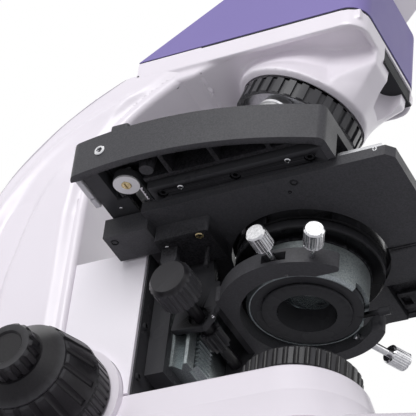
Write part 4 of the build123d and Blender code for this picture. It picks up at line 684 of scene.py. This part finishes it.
def side_height(y, z):
    """How far the skin stands off the arm's flat side, in mm, or None outside it."""
    from_back = signed_distance(BACK_CURVE, y, z)
    from_front = signed_distance(ARCH_CURVE, y, z)
    from_boss = math.hypot(y - BOSS_PLACE[0], z - BOSS_PLACE[1]) - BOSS_RADIUS
    if from_back < SKIN_BACK or from_front < SKIN_FRONT or from_boss < 0.2 or z > SKIN_TOP:
        return None
    ridge = signed_distance(RIDGE_CURVE, y, z)
    inner = signed_distance(INNER_CURVE, y, z)
    hollow = ease(ridge / HOLLOW_EASE) * ease(-inner / HOLLOW_EASE) * ease((225 - z) / 45)
    height = SKIN_REST + RIDGE_RISE * bell(ridge, RIDGE_WIDTH)
    height -= RIDGE_DIP * ease(-ridge / 3.0) * ease((ridge + 9) / 3.0)
    height += INNER_RISE * bell(max(inner, 0) * INNER_FADE - min(inner, 0), RIDGE_WIDTH) * ease((228 - z) / 16)
    height -= HOLLOW_DEPTH * hollow
    height = max(height, 0.12)
    height += (BAND_FLUSH - height) * ease((z - 260) / 8.0) * ease((y - 66) / 14.0)
    height *= ease((from_front - SKIN_FRONT + 0.3) / FRONT_EASE)
    height *= ease(from_boss / BOSS_EASE)
    height -= SKIN_SINK
    if from_back < SKIN_ROUND:
        rounded = 1 - math.sqrt(max(1 - ((SKIN_ROUND - from_back) / (SKIN_ROUND - SKIN_BACK)) ** 2, 0.0))
        under = EDGE_ROUND - math.sqrt(max(EDGE_ROUND ** 2 - (EDGE_ROUND - from_back) ** 2, 0.0))
        height -= (height + under + 0.2) * rounded
    return height


def side_skins():
    """Grid of quads over each flat side of the arm."""
    heights = {}
    (y_low, y_high), (z_low, z_high) = SKIN_GRID
    for i in range(int((y_high - y_low) / SKIN_STEP)):
        for j in range(int((z_high - z_low) / SKIN_STEP)):
            y, z = y_low + i * SKIN_STEP, z_low + j * SKIN_STEP
            height = side_height(y, z)
            if height is not None:
                heights[i, j] = (y, z, height)
    mesh = bmesh.new()
    for sign in (-1, 1):
        verts = {key: mesh.verts.new(place(sign * (ARM_HALF + height), y, z))
                 for key, (y, z, height) in heights.items()}
        for i, j in heights:
            corners = [(i, j), (i + 1, j), (i + 1, j + 1), (i, j + 1)]
            if all(corner in verts for corner in corners):
                order = corners if sign > 0 else corners[::-1]
                mesh.faces.new([verts[corner] for corner in order])
    for vertex in [v for v in mesh.verts if not v.link_faces]:
        mesh.verts.remove(vertex)
    return mesh


def side_grooves():
    """Fine parting groove along each side of the arm, as a dark strip of painted shade on the skin."""
    mesh = bmesh.new()
    line = GROOVE_CURVE
    for sign in (-1, 1):
        rows = []
        for i, (y, z) in enumerate(line):
            before, after = line[max(i - 1, 0)], line[min(i + 1, len(line) - 1)]
            along = Vector((after[0] - before[0], after[1] - before[1])).normalized()
            edges = [(y + along.y * half, z - along.x * half) for half in (-GROOVE_HALF, GROOVE_HALF)]
            rises = [side_height(*edge) for edge in edges]
            if None in rises:
                continue
            rows.append([mesh.verts.new(place(sign * (ARM_HALF + GROOVE_LIFT + rise), *edge))
                         for rise, edge in zip(rises, edges)])
        for one, two in zip(rows, rows[1:]):
            corners = [one[0], one[1], two[1], two[0]]
            mesh.faces.new(corners if sign > 0 else corners[::-1])
    return mesh


# Belt teeth, scale strip, and a black ring of painted shade in the cover's shadow gap

BELT_START = -69
BELT_PITCH = 2.03
BELT_TEETH = 69
BELT_RUNS = ((62.5, 63.5), (73.5, 74.5))
TOOTH_SECTION = ((0.42, 161.6), (0.52, 161.9), (0.52, 165.1), (0.42, 165.4))    # half width, z
SCALE_PARTS = ((-89.0, -74.4), (-73.6, -67.0))
SCALE_Y = (88.2, 91.4)
SCALE_SECTION = ((0.25, 159.2), (0.0, 159.5), (0.0, 165.0), (0.25, 165.3))      # inset, z
SHADOW_GAP_INSET = 0.55
SHADOW_GAP_Z = (286.06, 286.94)


def block(x, y, section, shrink_y):
    """Closed bar whose outline shrinks by an inset at each height of its section."""
    return lofted([[(x[0] + i, y[0] + i * shrink_y, z), (x[1] - i, y[0] + i * shrink_y, z),
                    (x[1] - i, y[1] - i * shrink_y, z), (x[0] + i, y[1] - i * shrink_y, z)] for i, z in section])


def belt_teeth():
    """Teeth on the inner side of both straight runs of the drive belt."""
    teeth = []
    for i in range(BELT_TEETH):
        x = BELT_START + BELT_PITCH * i
        for y in BELT_RUNS:
            teeth.append(block((x, x), y, [(-half, z) for half, z in TOOTH_SECTION], 0))
    return joined(teeth)


def guide_scale():
    """Pale two-part strip along the back edge of the transverse guide."""
    return joined([block(x, SCALE_Y, SCALE_SECTION, 1) for x in SCALE_PARTS])


# dark strip of painted shade along the parting groove
finish_piece(side_grooves(), "arm_side_groove_shade", "stand", "shade_line")
finish_piece(belt_teeth(), "belt_teeth", "mechanical_stage", "belt_black")
finish_piece(guide_scale(), "guide_scale", "mechanical_stage", "scale_white")
finish_piece(side_skins(), "arm_side_relief", "stand", "white_enamel", None, 50.0)
# black ring of painted shade in the shadow gap under the lavender cover
finish_piece(lofted([band_outline(SHADOW_GAP_INSET, z) for z in SHADOW_GAP_Z]), "cover_shadow_gap", "stand",
             "soft_black", None, 30.0)


# Camera

AZIMUTH, ELEVATION, ROLL = math.radians(-59.5), math.radians(-38.9), math.radians(6.94)
FOCAL_PIXELS = 2085.0
CAMERA_PLACE = (-757.56, -381.39, -505.24)
back = Vector((math.sin(AZIMUTH) * math.cos(ELEVATION), -math.cos(AZIMUTH) * math.cos(ELEVATION),
               math.sin(ELEVATION)))
right = Vector((0, 0, 1)).cross(back).normalized()
up = back.cross(right)
rolled_right = right * math.cos(ROLL) + up * math.sin(ROLL)
rolled_up = up * math.cos(ROLL) - right * math.sin(ROLL)
lens = bpy.data.cameras.new("camera")
lens.sensor_width = SENSOR
lens.sensor_fit = "HORIZONTAL"
lens.lens = FOCAL_PIXELS * SENSOR / IMAGE_PIXELS
lens.clip_start = 0.02      # in metres
lens.clip_end = 50.0
camera = bpy.data.objects.new("camera", lens)
bpy.context.scene.collection.objects.link(camera)
camera.matrix_world = (Matrix.Translation(place(*CAMERA_PLACE))
                       @ Matrix((rolled_right, rolled_up, back)).transposed().to_4x4())
bpy.context.scene.camera = camera


# Floor, lamps and world

def combined(tree, operation, first, second):
    """One number of two."""
    node = tree.nodes.new("ShaderNodeMath")
    node.operation = operation
    tree.links.new(first, node.inputs[0])
    tree.links.new(second, node.inputs[1])
    return node.outputs["Value"]


def direct_rays(tree):
    """1 for rays from the camera, through glass or off a shiny face, and 0 for diffuse light."""
    path = tree.nodes.new("ShaderNodeLightPath")
    seen = combined(tree, "MAXIMUM", path.outputs["Is Camera Ray"], path.outputs["Is Transmission Ray"])
    return combined(tree, "MAXIMUM", seen, path.outputs["Is Glossy Ray"])


def floor_material():
    """Pale floor from above; direct rays pass through it from below."""
    material = bpy.data.materials.new("floor")
    material.use_nodes = True
    tree = material.node_tree
    principled = tree.nodes["Principled BSDF"]
    principled.inputs["Roughness"].default_value = 0.9
    tree.links.new(ramp(tree, noise(tree, 3.0), (0.68, 0.68, 0.69), (0.72, 0.72, 0.73)),
                   principled.inputs["Base Color"])
    geometry = tree.nodes.new("ShaderNodeNewGeometry")
    below = combined(tree, "MULTIPLY", geometry.outputs["Backfacing"], direct_rays(tree))
    clear = tree.nodes.new("ShaderNodeBsdfTransparent")
    mix = tree.nodes.new("ShaderNodeMixShader")
    tree.links.new(below, mix.inputs["Fac"])
    tree.links.new(principled.outputs["BSDF"], mix.inputs[1])
    tree.links.new(clear.outputs["BSDF"], mix.inputs[2])
    tree.links.new(mix.outputs["Shader"], tree.nodes["Material Output"].inputs["Surface"])
    return material


FLOOR_HALF = 4.0             # in metres, as the lamps' places and sizes
mesh = bmesh.new()
bmesh.ops.create_grid(mesh, x_segments=4, y_segments=4, size=FLOOR_HALF)
floor_data = bpy.data.meshes.new("floor")
mesh.to_mesh(floor_data)
mesh.free()
floor = bpy.data.objects.new("floor", floor_data)
bpy.context.scene.collection.objects.link(floor)
floor_data.materials.append(floor_material())


LAMP_TARGET = Vector((0.0, 0.0, 0.2))


def lamp(name, position, size, power):
    """Soft square lamp that the camera doesn't see."""
    data = bpy.data.lights.new(name, "AREA")
    data.shape = "SQUARE"
    data.size = size
    data.energy = power
    lamp_object = bpy.data.objects.new(name, data)
    bpy.context.scene.collection.objects.link(lamp_object)
    direction = Vector(position) - LAMP_TARGET
    lamp_object.matrix_world = Matrix.Translation(Vector(position)) @ basis(direction)
    lamp_object.visible_camera = False


lamp("key", (-1.5, -0.2, 0.75), 0.9, 18.0)
lamp("front", (-0.1, -1.7, 0.55), 1.0, 1.0)
lamp("top", (0.2, 0.2, 1.8), 1.4, 6.0)
lamp("fill", (1.5, -0.6, 0.8), 1.2, 5.0)

world = bpy.data.worlds.new("studio")
bpy.context.scene.world = world
world.use_nodes = True
tree = world.node_tree
level = tree.nodes.new("ShaderNodeMix")
level.data_type = "RGBA"
level.inputs[6].default_value = (0.29, 0.29, 0.31, 1)
level.inputs[7].default_value = (1.0, 1.0, 1.0, 1)
tree.links.new(direct_rays(tree), level.inputs["Factor"])
tree.links.new(level.outputs[2], tree.nodes["Background"].inputs["Color"])

bpy.context.scene.view_settings.view_transform = "Standard"
